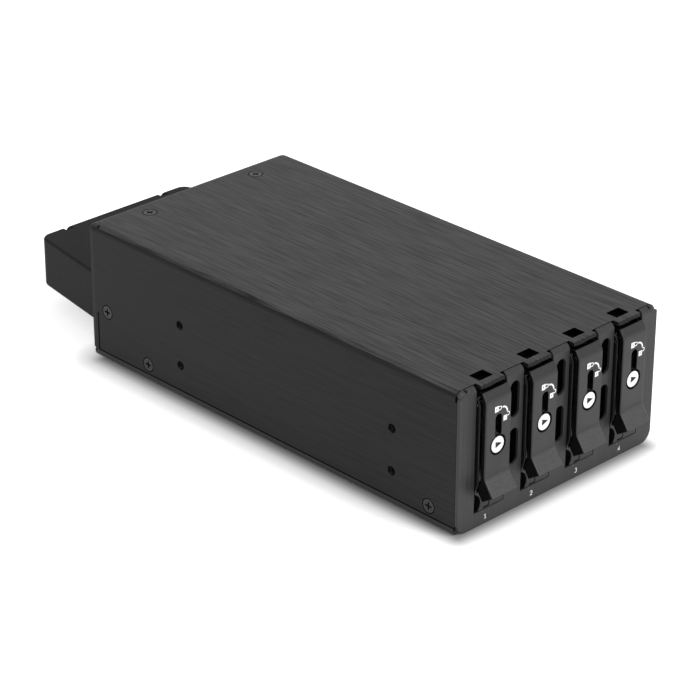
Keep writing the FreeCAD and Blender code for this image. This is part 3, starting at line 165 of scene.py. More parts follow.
class CageStage(bpy.types.PropertyGroup):
    """Camera, light and floor."""

    azimuth: bpy.props.FloatProperty(
        name="Azimuth", description="Camera's turn about the cage", subtype="ANGLE",
        default=math.radians(-44.141))
    elevation: bpy.props.FloatProperty(
        name="Elevation", description="Camera's height angle", subtype="ANGLE",
        default=math.radians(26.574))
    roll: bpy.props.FloatProperty(
        name="Roll", description="Camera's lean", subtype="ANGLE", default=math.radians(0.183))
    place: position("Place", "Camera's place", -0.44841, -0.45771, 0.33349)
    lens: bpy.props.FloatProperty(
        name="Lens", description="Focal length on a 36 mm sensor", unit="CAMERA", default=138.80)
    key_place: position("Key place", "Place of the light over the front", 0.2, -0.85, 0.95)
    key_size: length("Key size", "Side of the light over the front", 500)
    key_power: bpy.props.FloatProperty(
        name="Key light", description="Power of the light over the front", unit="POWER", default=8.0)
    fill_place: position("Fill place", "Place of the light on the left", -0.5, -0.55, 0.25)
    fill_size: length("Fill size", "Side of the light on the left", 500)
    fill_power: bpy.props.FloatProperty(
        name="Fill light", description="Power of the light on the left", unit="POWER", default=1.6)
    sky: bpy.props.FloatProperty(
        name="Sky", description="Strength of the even light from all round", default=0.6, min=0, max=2)
    floor_glow: bpy.props.FloatProperty(
        name="Floor glow", description="Whiteness added to the floor away from the cage", default=0.6,
        min=0, max=1)
    floor_half: length("Floor half", "Middle to the edge of the floor", 3000)
    floor_drop: length("Floor drop", "Underside of the cage to the floor", 0.1)
    # Painted contact shadow: width and insets of the darker floor next to the cage
    shade: length("Shade", "Width of the darker floor next to the cage", 4.5)
    shade_right: length("Shade right", "How far inside the cage's right side that width starts", 4)
    shade_rear: length("Shade rear", "How far inside the cage's rear that width starts", 7)
    glow_start: length("Glow start", "Distance from the cage at which the glow starts", 1)
    glow_full: length("Glow full", "Distance from the cage at which the glow is full", 11)


class Finish:
    """A procedural material, built up from its Principled shader and Object coordinates."""

    def __init__(self, name, roughness, metallic=0.0, specular=0.5):
        self.material = bpy.data.materials.new(name)
        self.material.use_nodes = True
        tree = self.material.node_tree
        self.nodes, self.links = tree.nodes, tree.links
        self.shader = self.nodes["Principled BSDF"]
        self.set("Roughness", roughness)
        self.set("Metallic", metallic)
        self.set("Specular IOR Level", specular)
        coordinates = self.nodes.new("ShaderNodeTexCoord")
        self.place, self.normal = coordinates.outputs["Object"], coordinates.outputs["Normal"]

    def set(self, socket, value):
        """Give a shader input a plain value."""
        self.shader.inputs[socket].default_value = value

    def noise(self, per_metre, detail):
        """Noise with that many grains to the metre along X, Y and Z."""
        mapping = self.nodes.new("ShaderNodeMapping")
        mapping.inputs["Scale"].default_value = per_metre
        texture = self.nodes.new("ShaderNodeTexNoise")
        texture.inputs["Scale"].default_value = 1.0
        texture.inputs["Detail"].default_value = detail
        texture.inputs["Roughness"].default_value = 0.6
        self.links.new(self.place, mapping.inputs["Vector"])
        self.links.new(mapping.outputs["Vector"], texture.inputs["Vector"])
        return texture.outputs["Fac"]

    def level(self, value, from_low, from_high, to_low, to_high):
        """A value stretched from one range to another."""
        node = self.nodes.new("ShaderNodeMapRange")
        for socket, number in zip(("From Min", "From Max", "To Min", "To Max"),
                                  (from_low, from_high, to_low, to_high)):
            node.inputs[socket].default_value = number
        self.links.new(value, node.inputs["Value"])
        return node.outputs["Result"]

    def stretch(self, noise, low=0, high=1):
        """Noise, most of which lies between 0.3 and 0.7, stretched from one value to another."""
        return self.level(noise, 0.3, 0.7, low, high)

    def mix(self, share, low, high):
        """Two colours mixed by a share; a colour may be a socket."""
        node = self.nodes.new("ShaderNodeMix")
        node.data_type = "RGBA"
        self.links.new(share, node.inputs["Factor"])
        for socket, paint in ((node.inputs[6], low), (node.inputs[7], high)):
            if isinstance(paint, bpy.types.NodeSocket):
                self.links.new(paint, socket)
            else:
                socket.default_value = (*paint, 1)
        return node.outputs[2]

    def shade(self, share, base, spread):
        """Colour that varies about a base by a share of itself."""
        low = tuple(c * (1 - spread) for c in base)
        high = tuple(c * (1 + spread) for c in base)
        return self.mix(share, low, high)

    def relief(self, height, depth, edge=0.0):
        """Bump of a depth; edge is the radius at which hard edges catch light."""
        bump = self.nodes.new("ShaderNodeBump")
        bump.inputs["Strength"].default_value = 1.0
        bump.inputs["Distance"].default_value = depth
        self.links.new(height, bump.inputs["Height"])
        if edge:
            soft = self.nodes.new("ShaderNodeBevel")
            soft.samples = 4
            soft.inputs["Radius"].default_value = edge
            self.links.new(soft.outputs["Normal"], bump.inputs["Normal"])
        self.links.new(bump.outputs["Normal"], self.shader.inputs["Normal"])

    def paint(self, socket):
        """Lead a colour to the shader."""
        self.links.new(socket, self.shader.inputs["Base Color"])

    def gloss(self, socket):
        """Lead a roughness to the shader."""
        self.links.new(socket, self.shader.inputs["Roughness"])

    def math(self, operation, first, second=0.0):
        """Result of a sum on one or two values; each is a socket or a number."""
        node = self.nodes.new("ShaderNodeMath")
        node.operation = operation
        for socket, value in zip(node.inputs, (first, second)):
            if isinstance(value, bpy.types.NodeSocket):
                self.links.new(value, socket)
            else:
                socket.default_value = value
        return node.outputs["Value"]

    def plus(self, first, second):
        """Sum of two values."""
        return self.math("ADD", first, second)

    def times(self, first, second):
        """Product of two values."""
        return self.math("MULTIPLY", first, second)

    def blend(self, share, low, high):
        """Number that goes from low, a socket, to high, a plain number."""
        return self.plus(self.times(self.math("SUBTRACT", 1, share), low), self.times(share, high))

    def along(self, axis, source=None):
        """Place along an axis, or the share of a normal on it."""
        split = self.nodes.new("ShaderNodeSeparateXYZ")
        self.links.new(source or self.place, split.inputs["Vector"])
        return split.outputs[axis]

    def turned(self, axis):
        """Share that is 1 on faces that look along an axis, either way, to about 45 degrees."""
        return self.math("GREATER_THAN", self.math("ABSOLUTE", self.along(axis, self.normal)), 0.7)

    def beyond(self, axis, value):
        """Share that is 1 where the place along an axis is beyond a value."""
        return self.math("GREATER_THAN", self.along(axis), value)

    def below(self, axis, value):
        """Share that is 1 where the place along an axis is short of a value."""
        return self.math("LESS_THAN", self.along(axis), value)

    def outside(self, axis, low, high):
        """Square of the distance along an axis to a range; 0 inside the range."""
        off = self.math("ABSOLUTE", self.math("SUBTRACT", self.along(axis), (low + high) / 2))
        return self.math("POWER", self.math("MAXIMUM", self.math("SUBTRACT", off, (high - low) / 2), 0), 2)

    def within(self, axis, half):
        """Share that is 1 nearer than a distance to the middle, either way."""
        return self.math("LESS_THAN", self.math("ABSOLUTE", self.along(axis)), half)


def brushed_cover(name, top, side, front):
    """Cover: brushed streaks over the top, fainter ones down the sides, a dull rear, and painted shade
    round the latch windows, where the edges and inner faces are black and polished; the top is painted
    lighter than the sides."""
    finish = Finish(name, 0.42, specular=0.12)
    fine, broad = finish.noise((2600, 75, 2600), detail=2), finish.noise((900, 30, 900), detail=2)
    streaks = finish.level(finish.plus(fine, finish.times(broad, 0.35)), 0.5, 0.85, 0, 1)
    # Painted light: faces turned up or down take the lighter top colour, the others the darker side colour
    flat = finish.turned("Z")
    paint = finish.mix(flat, finish.shade(streaks, side, 0.5), finish.shade(streaks, top, 0.8))
    near, far = (front + depth for depth in WINDOW_DEPTH)
    window = finish.times(finish.beyond("Y", near), finish.below("Y", far))
    inner = finish.times(window, finish.within("X", WINDOW_HALF))
    # Painted shade: inside the latch windows, below the outer face, the cover is painted black where shade
    # falls
    window_shade = finish.times(finish.below("Z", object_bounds()[1].z - TOP_SKIN), inner)
    rear = finish.math("GREATER_THAN", finish.along("Y", finish.normal), 0.2)
    finish.paint(finish.mix(window_shade, paint, SHADE_BLACK))
    finish.gloss(finish.blend(rear, finish.blend(window_shade, finish.level(streaks, 0, 1, 0.36, 0.5), 0.1), 0.7))
    finish.relief(fine, 0.008 * MM, edge=0.1 * MM)
    return finish.material


def brushed_front(name, base):
    """Front plate: fine upright brushing."""
    finish = Finish(name, 0.42, specular=0.25)
    streaks = finish.noise((2600, 2600, 40), detail=3)
    finish.paint(finish.shade(finish.stretch(streaks), base, 0.3))
    finish.gloss(finish.stretch(streaks, 0.36, 0.5))
    finish.relief(streaks, 0.008 * MM, edge=0.3 * MM)
    return finish.material


def satin_black(name, base, roughness, edge=0.3 * MM, specular=0.3):
    """Satin coat: even fine grain, with slow changes of gloss where hands have been."""
    finish = Finish(name, roughness, specular=specular)
    fine, slow = finish.noise((9000,) * 3, detail=2), finish.noise((90,) * 3, detail=2)
    finish.paint(finish.shade(finish.stretch(fine), base, 0.1))
    finish.gloss(finish.stretch(slow, roughness - 0.06, roughness + 0.06))
    finish.relief(fine, 0.012 * MM, edge=edge)
    return finish.material


def flanked_black(name, base, grip, face):
    """Satin grained face, with a painted reflection that lightens the grip; flanks turned to the sides, and
    all that lies behind the face, painted black as shade and polished."""
    finish = Finish(name, 0.42, specular=0.4)
    fine, slow = finish.noise((4200,) * 3, detail=3), finish.noise((90,) * 3, detail=2)
    over = finish.math("MAXIMUM", finish.math("SUBTRACT", finish.along("Z"), LEVER_BEND), 0)
    back = finish.math("SUBTRACT", finish.along("Y"), finish.times(over, TOP_SLOPE))
    # Painted shade: all behind the face, and the flanks turned to the sides, are painted black for the
    # shade between the levers and under the cover
    behind = finish.math("GREATER_THAN", back, face + FACE_SKIN)
    painted_shade = finish.math("MAXIMUM", finish.turned("X"), behind)
    grain = finish.level(fine, 0.35, 0.65, 0, 1)
    # Painted reflection: below the fold the grip takes the lighter colour, standing for the floor's
    # reflection
    painted_sheen = finish.level(finish.along("Z"), *GRIP_FOLD, 0, 1)
    front = finish.mix(painted_sheen, finish.shade(grain, base, 0.5), finish.shade(grain, grip, 0.5))
    finish.paint(finish.mix(painted_shade, front, SHADE_BLACK))
    finish.gloss(finish.blend(painted_shade, finish.stretch(slow, 0.36, 0.48), 0.12))
    finish.relief(fine, 0.01 * MM, edge=0.3 * MM)
    return finish.material


def moulded_black(name, base, roughness=0.62):
    """Moulded plastic: a spark-eroded texture and faint flow marks."""
    finish = Finish(name, roughness, specular=0.13)
    texture, flow = finish.noise((4200,) * 3, detail=3), finish.noise((60, 25, 60), detail=2)
    finish.paint(finish.shade(finish.stretch(flow), base, 0.08))
    finish.gloss(finish.stretch(texture, roughness - 0.08, roughness + 0.05))
    finish.relief(texture, 0.02 * MM, edge=0.3 * MM)
    return finish.material


def plated_steel(name, base, roughness=0.34):
    """Rolled and plated steel: long rolling lines and clouds of dull zinc."""
    finish = Finish(name, roughness, metallic=1.0)
    lines, clouds = finish.noise((60, 2600, 2600), detail=2), finish.noise((260,) * 3, detail=4)
    finish.paint(finish.shade(finish.stretch(clouds), base, 0.12))
    finish.gloss(finish.stretch(clouds, roughness - 0.08, roughness + 0.12))
    finish.relief(lines, 0.006 * MM, edge=0.2 * MM)
    return finish.material


def extruded_aluminium(name, base):
    """Extruded aluminium: die lines along the fins."""
    finish = Finish(name, 0.36, metallic=1.0)
    lines = finish.noise((3800, 30, 3800), detail=2)
    finish.paint(finish.shade(finish.stretch(lines), base, 0.1))
    finish.gloss(finish.stretch(lines, 0.3, 0.46))
    finish.relief(lines, 0.01 * MM, edge=0.2 * MM)
    return finish.material


def soft_pad(name, base):
    """Thermal pad: dull filled silicone with specks."""
    finish = Finish(name, 0.85, specular=0.3)
    specks = finish.noise((2600,) * 3, detail=4)
    finish.paint(finish.shade(finish.level(specks, 0.4, 0.6, 0, 1), base, 0.16))
    finish.relief(specks, 0.03 * MM)
    return finish.material


def solder_mask(name, base):
    """Circuit board: tracks as faint straight lines under a glossy green mask."""
    finish = Finish(name, 0.35, specular=0.5)
    tracks = finish.nodes.new("ShaderNodeTexBrick")
    tracks.inputs["Scale"].default_value = 420
    tracks.inputs["Mortar Size"].default_value = 0.03
    tracks.inputs["Color1"].default_value = (*base, 1)
    tracks.inputs["Color2"].default_value = (*(c * 0.86 for c in base), 1)
    tracks.inputs["Mortar"].default_value = (*(c * 1.7 for c in base), 1)
    finish.links.new(finish.place, tracks.inputs["Vector"])
    finish.paint(tracks.outputs["Color"])
    finish.relief(tracks.outputs["Fac"], 0.02 * MM, edge=0.2 * MM)
    return finish.material


def lock_metal(name, bright, recess, face):
    """Lock: bright face, black below it: in the recess, and on the rim and barrel as painted shade of the
    ring round the disc.
    """
    finish = Finish(name, 0.3, specular=0.6)
    grain = finish.noise((5200,) * 3, detail=3)
    metal = finish.shade(finish.stretch(grain), bright, 0.08)
    finish.paint(finish.mix(finish.beyond("Y", face + TOP_SKIN), metal, recess))
    finish.gloss(finish.stretch(grain, 0.26, 0.42))
    finish.relief(grain, 0.006 * MM, edge=0.1 * MM)
    return finish.material


def ink(name, base):
    """Screen-printed ink: slightly uneven cover with a dull surface."""
    finish = Finish(name, 0.6, specular=0.35)
    cover = finish.noise((7000,) * 3, detail=3)
    finish.paint(finish.shade(finish.stretch(cover), base, 0.05))
    finish.relief(cover, 0.008 * MM)
    return finish.material


def gold(name, base):
    """Plated contacts: bright with wiping marks along them."""
    finish = Finish(name, 0.25, metallic=1.0)
    wipes = finish.noise((6000, 120, 6000), detail=2)
    finish.paint(finish.shade(finish.stretch(wipes), base, 0.12))
    finish.gloss(finish.stretch(wipes, 0.18, 0.36))
    return finish.material


def dark_lens(name, base):
    """Status lens: smoked, polished, with a faint cloud inside."""
    finish = Finish(name, 0.12, specular=0.6)
    cloud = finish.noise((3000,) * 3, detail=2)
    finish.paint(finish.shade(finish.stretch(cloud), base, 0.2))
    return finish.material


def wear(material, *nodes):
    """Give CAD nodes a finish."""
    for name in nodes:
        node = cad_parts[name]
        if not node.material_slots:
            node.data.materials.append(material)
        for slot in node.material_slots:
            slot.material = material


def strip(path, width, depth, place, closed=False):
    """Strip of even width along a flat path: each point moves both ways along the mean of its runs'
    normals, lengthened for the corner, and the outline is carried front to back by the depth."""
    path = np.asarray(path, float)
    runs = np.diff(np.vstack([path, path[:1]]), axis=0)
    runs /= np.linalg.norm(runs, axis=1)[:, None] + 1e-12
    before, after = np.roll(runs, 1, axis=0), runs.copy()
    if not closed:
        before[0], after[-1] = runs[0], runs[-2]
    normals = np.stack([-(before + after)[:, 1], (before + after)[:, 0]], axis=1)
    normals /= np.maximum((normals ** 2).sum(1) / 2, 0.5)[:, None]
    sides = np.stack([path + normals * width / 2, path - normals * width / 2], axis=1)
    flat = np.concatenate([sides, sides]).reshape(2, -1, 2)
    points = np.empty((*flat.shape[:2], 3))
    points[..., 0], points[..., 2] = flat[..., 0] + place[0], flat[..., 1] + place[2]
    points[..., 1] = place[1] + np.array([-depth, depth])[:, None]
    count = len(path)
    i = np.arange(count if closed else count - 1)
    a, b, c, d = 2 * i, 2 * ((i + 1) % count), 2 * ((i + 1) % count) + 1, 2 * i + 1
    back = 2 * count
    faces = [np.stack(q, axis=1) for q in ((a, b, c, d), (d + back, c + back, b + back, a + back),
                                           (a, a + back, b + back, b), (d, c, c + back, d + back))]
    if not closed:
        end = back - 2
        faces.append(np.array([[0, 1, 1 + back, back], [end, end + back, end + 1 + back, end + 1]]))
    return points.reshape(-1, 3), np.concatenate(faces)


def arc(centre, radius, start, end, steps=12):
    """Points of an arc, with its angles in degrees from +X towards +Z."""
    turn = np.radians(np.linspace(start, end, steps))
    return np.stack([centre[0] + radius * np.cos(turn), centre[1] + radius * np.sin(turn)], axis=1)


def block(centre, size):
    """Corners of a rectangle about a centre, anticlockwise from its lower left."""
    return np.array(centre) + np.array([(-1, -1), (1, -1), (1, 1), (-1, 1)]) * np.array(size) / 2


def piece(name, parts, body, material):
    """One closed mesh from several parts, riding on a body."""
    starts = np.cumsum([0] + [len(part[0]) for part in parts])
    points = np.concatenate([part[0] for part in parts])
    faces = np.concatenate([part[1] + start for part, start in zip(parts, starts)])
    mesh = bpy.data.meshes.new(name)
    mesh.from_pydata(points.tolist(), [], faces.tolist())
    shell = bmesh.new()
    shell.from_mesh(mesh)
    bmesh.ops.recalc_face_normals(shell, faces=shell.faces)
    shell.to_mesh(mesh)
    shell.free()
    mesh.materials.append(material)
    made = bpy.data.objects.new(name, mesh)
    bpy.context.scene.collection.objects.link(made)
    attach(made, body)


def bay_middle(bay):
    """Place across of a bay, from its lever."""
    low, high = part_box(f"lever_{bay}")
    return (low.x + high.x) / 2


def lever_face():
    """Place front to back of the levers' flat face."""
    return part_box("lever_1")[0].y + GRIP_OUT


def once(name, make, *values, **more):
    """A finish, made the first time that it is asked for."""
    return bpy.data.materials.get(name) or make(name, *values, **more)


class CAGE_OT_cover(bpy.types.Operator):
    """Brushed finish of the cover, and coat of the pan and their screws"""

    bl_idname = "cage.finish_cover"
    bl_label = "Cover, pan and screws"

    def execute(self, context):
        colours = context.scene.cage_colours
        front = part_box("front_plate")[0].y
        wear(once("brushed_cover", brushed_cover, colours.cover, colours.side, front), "top_cover")
        wear(once("coated_pan", satin_black, colours.side, 0.5), "bottom_pan")
        wear(once("oxide_screw", satin_black, colours.screw, 0.24, edge=0.1 * MM),
             "left_side_screws", "right_side_screws", "top_screws")
        return {"FINISHED"}


class CAGE_OT_gaps(bpy.types.Operator):
    """Painted shadow: flat black rings round the countersunk heads and a strip along the cover's lower
    edges, where the gaps would be shaded
    """

    bl_idname = "cage.draw_gaps"
    bl_label = "Gaps of the cover"

    def execute(self, context):
        sizes = context.scene.cage_print
        low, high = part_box("top_cover")
        front = low.y + sizes.seam_front
        seam = strip([(high.y - sizes.seam_rear, low.z), (front, low.z), (front, low.z - sizes.seam_drop)],
                     sizes.seam_width, sizes.ink / 2, (0, 0, 0))
        parts = []
        for points, faces in (*(self.ring(centre, sizes) for centre in SIDE_SCREWS), seam):
            for side in (low.x, high.x):
                parts.append((points[:, [1, 0, 2]] + (side, 0, 0), faces))
        for centre in TOP_SCREWS:
            points, faces = self.ring(centre, sizes)
            parts.append((points[:, [0, 2, 1]] + (0, 0, high.z), faces))
        # Painted shadow of the gaps: thin sheets in the gap colour laid on the cover
        gap = once("dark_gap", satin_black, context.scene.cage_colours.gap, 0.9, specular=0.0)
        piece("cover_gap_shadows", parts, "cage", gap)
        return {"FINISHED"}

    def ring(self, centre, sizes):
        """Flat ring about a screw's centre, given in millimetres."""
        path = arc(np.array(centre) * MM, sizes.gap_radius, 0, 360, 41)[:-1]
        return strip(path, sizes.gap_width, sizes.ink / 2, (0, 0, 0), closed=True)


class CAGE_OT_front(bpy.types.Operator):
    """Fine upright grain of the front plate, and its status lenses"""

    bl_idname = "cage.finish_front"
    bl_label = "Front plate"

    def execute(self, context):
        colours = context.scene.cage_colours
        wear(once("front_sheet", brushed_front, colours.front), "front_plate")
        wear(once("smoked_lens", dark_lens, colours.lens), "status_lenses")
        return {"FINISHED"}


class CAGE_OT_rear(bpy.types.Operator):
    """Plated rear panel and moulded hood"""

    bl_idname = "cage.finish_rear"
    bl_label = "Rear panel and hood"

    def execute(self, context):
        colours = context.scene.cage_colours
        wear(once("plated_panel", plated_steel, colours.panel), "rear_panel")
        wear(once("moulded_hood", moulded_black, colours.hood), "rear_hood")
        return {"FINISHED"}


class CAGE_OT_inside(bpy.types.Operator):
    """Guides, boards, sockets, ports and blower"""

    bl_idname = "cage.finish_inside"
    bl_label = "Inside of the cage"

    def execute(self, context):
        colours = context.scene.cage_colours
        wear(once("moulded_inside", moulded_black, colours.inside, roughness=0.55),
             "lower_guide", "upper_guide", "drive_sockets", "board_strips",
             "blower_housing", "blower_posts", "blower_impeller")
        wear(once("green_board", solder_mask, colours.board), "backplane_board", "port_board")
        wear(once("port_steel", plated_steel, colours.panel, roughness=0.28), "data_ports")
        wear(once("inlet_plastic", moulded_black, colours.inside, roughness=0.5), "power_inlet")
        return {"FINISHED"}


class CAGE_OT_trays(bpy.types.Operator):
    """Trays with their pins, screws, heat plates and pads"""

    bl_idname = "cage.finish_trays"
    bl_label = "Trays"

    def execute(self, context):
        colours = context.scene.cage_colours
        tray = once("gloss_tray", satin_black, colours.tray, 0.22, edge=0.45 * MM)
        pin = once("ground_pin", plated_steel, colours.panel, roughness=0.22)
        fins = once("fin_metal", extruded_aluminium, colours.heat_plate)
        pad = once("grey_pad", soft_pad, colours.pad)
        for n in BAYS:
            wear(tray, f"tray_{n}_frame")
            wear(pin, f"hinge_pin_{n}", f"drive_screw_{n}")
            wear(fins, f"tray_{n}_heat_plate")
            wear(pad, f"tray_{n}_pad")
        return {"FINISHED"}


class CAGE_OT_levers(bpy.types.Operator):
    """Satin levers with a painted reflection on the grips, and painted shade on the polished flanks"""

    bl_idname = "cage.finish_levers"
    bl_label = "Levers"

    def execute(self, context):
        colours = context.scene.cage_colours
        wear(once("satin_lever", flanked_black, colours.lever, colours.grip, lever_face()),
             *(f"lever_{n}" for n in BAYS))
        return {"FINISHED"}


class CAGE_OT_locks(bpy.types.Operator):
    """Bright lock discs with a black recess, and painted shade on their rims"""

    bl_idname = "cage.finish_locks"
    bl_label = "Locks"

    def execute(self, context):
        colours = context.scene.cage_colours
        for n in BAYS:
            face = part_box(f"lock_{n}")[0].y
            wear(once("lock_face", lock_metal, colours.bright, colours.recess, face), f"lock_{n}")
        return {"FINISHED"}


class CAGE_OT_numbers(bpy.types.Operator):
    """Bay numbers printed on the front plate's lower strip"""

    bl_idname = "cage.print_numbers"
    bl_label = "Bay numbers"

    # Strokes of each number, for a height of 1
    STROKES = {
        1: [[(-0.3, 0.72), (0.0, 1.0), (0.0, 0.0)], [(-0.25, 0.0), (0.25, 0.0)]],
        2: [np.vstack([arc((0, 0.7), 0.3, 170, -35, 9), [(-0.3, 0.0), (0.32, 0.0)]])],
        3: [arc((0, 0.75), 0.26, 150, -90, 9), arc((0, 0.25), 0.27, 90, -150, 9)],
        4: [[(0.3, 0.28), (-0.32, 0.28), (0.14, 1.0), (0.14, 0.0)]],
    }

    def execute(self, context):
        sizes = context.scene.cage_print
        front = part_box("front_plate")[0].y
        material = once("white_ink", ink, context.scene.cage_colours.mark)
        for n in BAYS:
            place = (bay_middle(n) + sizes.number_side, front, sizes.number_low)
            parts = [strip(np.array(path) * sizes.number_height, sizes.number_stroke, sizes.ink, place)
                     for path in self.STROKES[n]]
            piece(f"number_{n}", parts, "cage", material)
        return {"FINISHED"}


class CAGE_OT_lock_marks(bpy.types.Operator):
    """Closed and open padlock with an arrow between them, printed on each lever"""

    bl_idname = "cage.print_lock_marks"
    bl_label = "Lock marks"

    # Stroke's setting, whether it is closed, and its path in millimetres from the lock's centre
    MARKS = (
        ("padlock_stroke", True, block((-0.77, 9.82), (0.78, 1.04))),
        ("mark_stroke", False, np.vstack([(-0.3, 10.27), arc((0.42, 9.82), 0.45, 90, -90), (-0.3, 9.37)])),
        ("sweep_stroke", False, arc((1.3, 8.15), 1.65, 92, 0)),
        ("padlock_stroke", True, block((2.28, 6.54), (0.74, 0.88))),
        ("mark_stroke", False, np.vstack([(2.62, 6.85), arc((3.25, 7.38), 0.47, -110, 125)])),
    )

    def execute(self, context):
        sizes = context.scene.cage_print
        material = once("white_ink", ink, context.scene.cage_colours.mark)
        for n in BAYS:
            low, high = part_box(f"lock_{n}")
            place = (bay_middle(n), lever_face(), (low.z + high.z) / 2)
            parts = [strip(path * MM, getattr(sizes, stroke), sizes.ink, place, closed=closed)
                     for stroke, closed, path in self.MARKS]
            piece(f"lock_mark_{n}", parts, f"lever_{n}", material)
        return {"FINISHED"}


class CAGE_OT_contacts(bpy.types.Operator):
    """Gold contact fingers on the tongues of the data ports"""

    bl_idname = "cage.add_contacts"
    bl_label = "Contacts"

    PORTS, FINGERS = 4, 7
    PORT_PITCH, FINGER_PITCH = 11.4 * MM, 0.8 * MM
    FIRST_PORT = 4.5 * MM
    THICKNESS = 0.06 * MM
    # Side view of a finger, from the ports' rear face and the middle of their height
    BEND = np.array([(-6.4, 0.42), (-2.2, 0.42), (-1.7, 0.34)]) * MM

    def execute(self, context):
        material = once("gold_contact", gold, context.scene.cage_colours.contact)
        low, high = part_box("data_ports")
        points, faces = strip(self.BEND, self.THICKNESS, context.scene.cage_print.finger / 2, (0, 0, 0))
        parts = []
        for port in range(self.PORTS):
            for finger in range(self.FINGERS):
                across = port * self.PORT_PITCH + (finger - self.FINGERS // 2) * self.FINGER_PITCH
                place = (low.x + self.FIRST_PORT + across, high.y, (low.z + high.z) / 2)
                parts.append((points[:, [1, 0, 2]] + place, faces))
        piece("port_contacts", parts, "cage", material)
        return {"FINISHED"}


def shown(nodes, links):
    """Share that is 1 for what the camera sees, directly, mirrored or through glass."""
    light_path = nodes.new("ShaderNodeLightPath")
    value = light_path.outputs["Is Camera Ray"]
    for ray in ("Is Glossy Ray", "Is Transmission Ray"):
        either = nodes.new("ShaderNodeMath")
        either.operation = "MAXIMUM"
        links.new(value, either.inputs[0])
        links.new(light_path.outputs[ray], either.inputs[1])
        value = either.outputs["Value"]
    return value


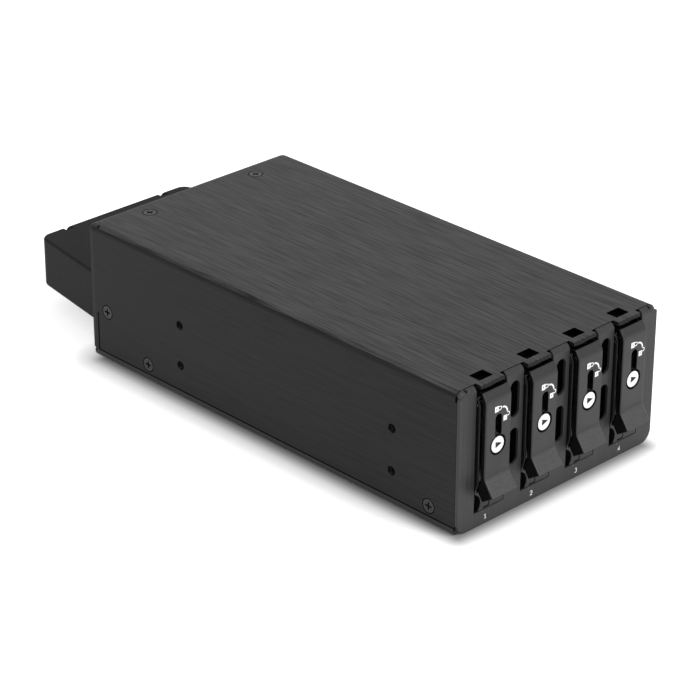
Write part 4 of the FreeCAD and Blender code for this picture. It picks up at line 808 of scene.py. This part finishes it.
class CAGE_OT_stage(bpy.types.Operator):
    """Pale floor, soft lights and the camera"""

    bl_idname = "cage.build_stage"
    bl_label = "Studio"

    def execute(self, context):
        scene, sizes = context.scene, context.scene.cage_stage
        scene.view_settings.view_transform = "Standard"
        self.floor(scene.cage_colours, sizes)
        self.sky(scene, sizes.sky)
        self.lamp("key_light", sizes.key_place, sizes.key_size, sizes.key_power)
        self.lamp("fill_light", sizes.fill_place, sizes.fill_size, sizes.fill_power)
        camera = bpy.data.objects.new("camera", bpy.data.cameras.new("camera"))
        scene.collection.objects.link(camera)
        turn, rise = sizes.azimuth, sizes.elevation
        back = Vector((math.sin(turn) * math.cos(rise), -math.cos(turn) * math.cos(rise), math.sin(rise)))
        facing = (-back).to_track_quat("-Z", "Y").to_matrix() @ Matrix.Rotation(sizes.roll, 3, "Z")
        camera.matrix_world = Matrix.Translation(sizes.place) @ facing.to_4x4()
        camera.data.lens = sizes.lens
        camera.data.sensor_width = 36
        camera.data.clip_start = 0.01
        scene.camera = camera
        return {"FINISHED"}

    def floor(self, colours, sizes):
        """Pale floor, with a painted contact shadow next to the cage and a glow further out."""
        mesh = bpy.data.meshes.new("floor")
        square = block((0, 0), (2 * sizes.floor_half,) * 2)
        corners = np.column_stack([square, np.full(4, -sizes.floor_drop)])
        mesh.from_pydata(corners.tolist(), [], [(0, 1, 2, 3)])
        floor = bpy.data.objects.new("floor", mesh)
        bpy.context.scene.collection.objects.link(floor)
        finish = Finish("pale_floor", 0.9, specular=0.1)
        finish.set("Emission Color", (1, 1, 1, 1))
        low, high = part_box("top_cover")
        away = finish.math("SQRT", finish.plus(finish.outside("X", low.x, high.x - sizes.shade_right),
                                               finish.outside("Y", low.y, high.y - sizes.shade_rear)))
        # Painted contact shadow: the floor goes from the shadow's grey next to the cage to its own colour;
        # the glow fades in further out, and mirrored rays see it in full
        finish.paint(finish.mix(finish.level(away, 0, sizes.shade, 0, 1), CONTACT_SHADOW, colours.floor))
        mirrored = finish.nodes.new("ShaderNodeLightPath").outputs["Is Glossy Ray"]
        ramp = finish.math("MAXIMUM", finish.level(away, sizes.glow_start, sizes.glow_full, 0, 1), mirrored)
        seen = finish.times(shown(finish.nodes, finish.links), finish.times(ramp, sizes.floor_glow))
        finish.links.new(seen, finish.shader.inputs["Emission Strength"])
        mesh.materials.append(finish.material)
        floor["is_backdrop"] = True

    def sky(self, scene, strength):
        """Even light from all round, white where it is seen."""
        world = bpy.data.worlds.new("studio")
        scene.world = world
        world.use_nodes = True
        nodes, links = world.node_tree.nodes, world.node_tree.links
        nodes["Background"].inputs["Color"].default_value = (1, 1, 1, 1)
        level = nodes.new("ShaderNodeMapRange")
        level.inputs["To Min"].default_value = strength
        level.inputs["To Max"].default_value = 1.0
        links.new(shown(nodes, links), level.inputs["Value"])
        links.new(level.outputs["Result"], nodes["Background"].inputs["Strength"])

    def lamp(self, name, place, size, power):
        """Square light that points at the cage."""
        data = bpy.data.lights.new(name, "AREA")
        data.size = size
        data.energy = power
        lamp = bpy.data.objects.new(name, data)
        bpy.context.scene.collection.objects.link(lamp)
        lamp.location = place
        lamp.rotation_euler = (AIM - Vector(place)).to_track_quat("-Z", "Y").to_euler()


STEPS = (
    CAGE_OT_cover, CAGE_OT_gaps, CAGE_OT_front, CAGE_OT_rear, CAGE_OT_inside, CAGE_OT_trays,
    CAGE_OT_levers, CAGE_OT_locks, CAGE_OT_numbers, CAGE_OT_lock_marks, CAGE_OT_contacts, CAGE_OT_stage)


class CAGE_PT_panel(bpy.types.Panel):
    """Steps and settings of the drive cage"""

    bl_idname = "CAGE_PT_panel"
    bl_label = "Drive Cage"
    bl_space_type = "VIEW_3D"
    bl_region_type = "UI"
    bl_category = "Drive Cage"

    def draw(self, context):
        for step in STEPS:
            self.layout.operator(step.bl_idname)
        for group in (context.scene.cage_colours, context.scene.cage_print, context.scene.cage_stage):
            box = self.layout.box()
            for name in group.bl_rna.properties.keys():
                if name not in ("name", "rna_type"):
                    box.prop(group, name)


CLASSES = (CageColours, CagePrint, CageStage, *STEPS, CAGE_PT_panel)
GROUPS = (("cage_colours", CageColours), ("cage_print", CagePrint), ("cage_stage", CageStage))


def register():
    """Add the classes and settings."""
    for item in CLASSES:
        bpy.utils.register_class(item)
    for name, group in GROUPS:
        setattr(bpy.types.Scene, name, bpy.props.PointerProperty(type=group))


def unregister():
    """Take the settings and classes away."""
    for name, group in GROUPS:
        delattr(bpy.types.Scene, name)
    for item in reversed(CLASSES):
        bpy.utils.unregister_class(item)


def main():
    """Run all the steps."""
    register()
    for step in STEPS:
        area, name = step.bl_idname.split(".")
        getattr(getattr(bpy.ops, area), name)()


if __name__ == "__main__":
    main()
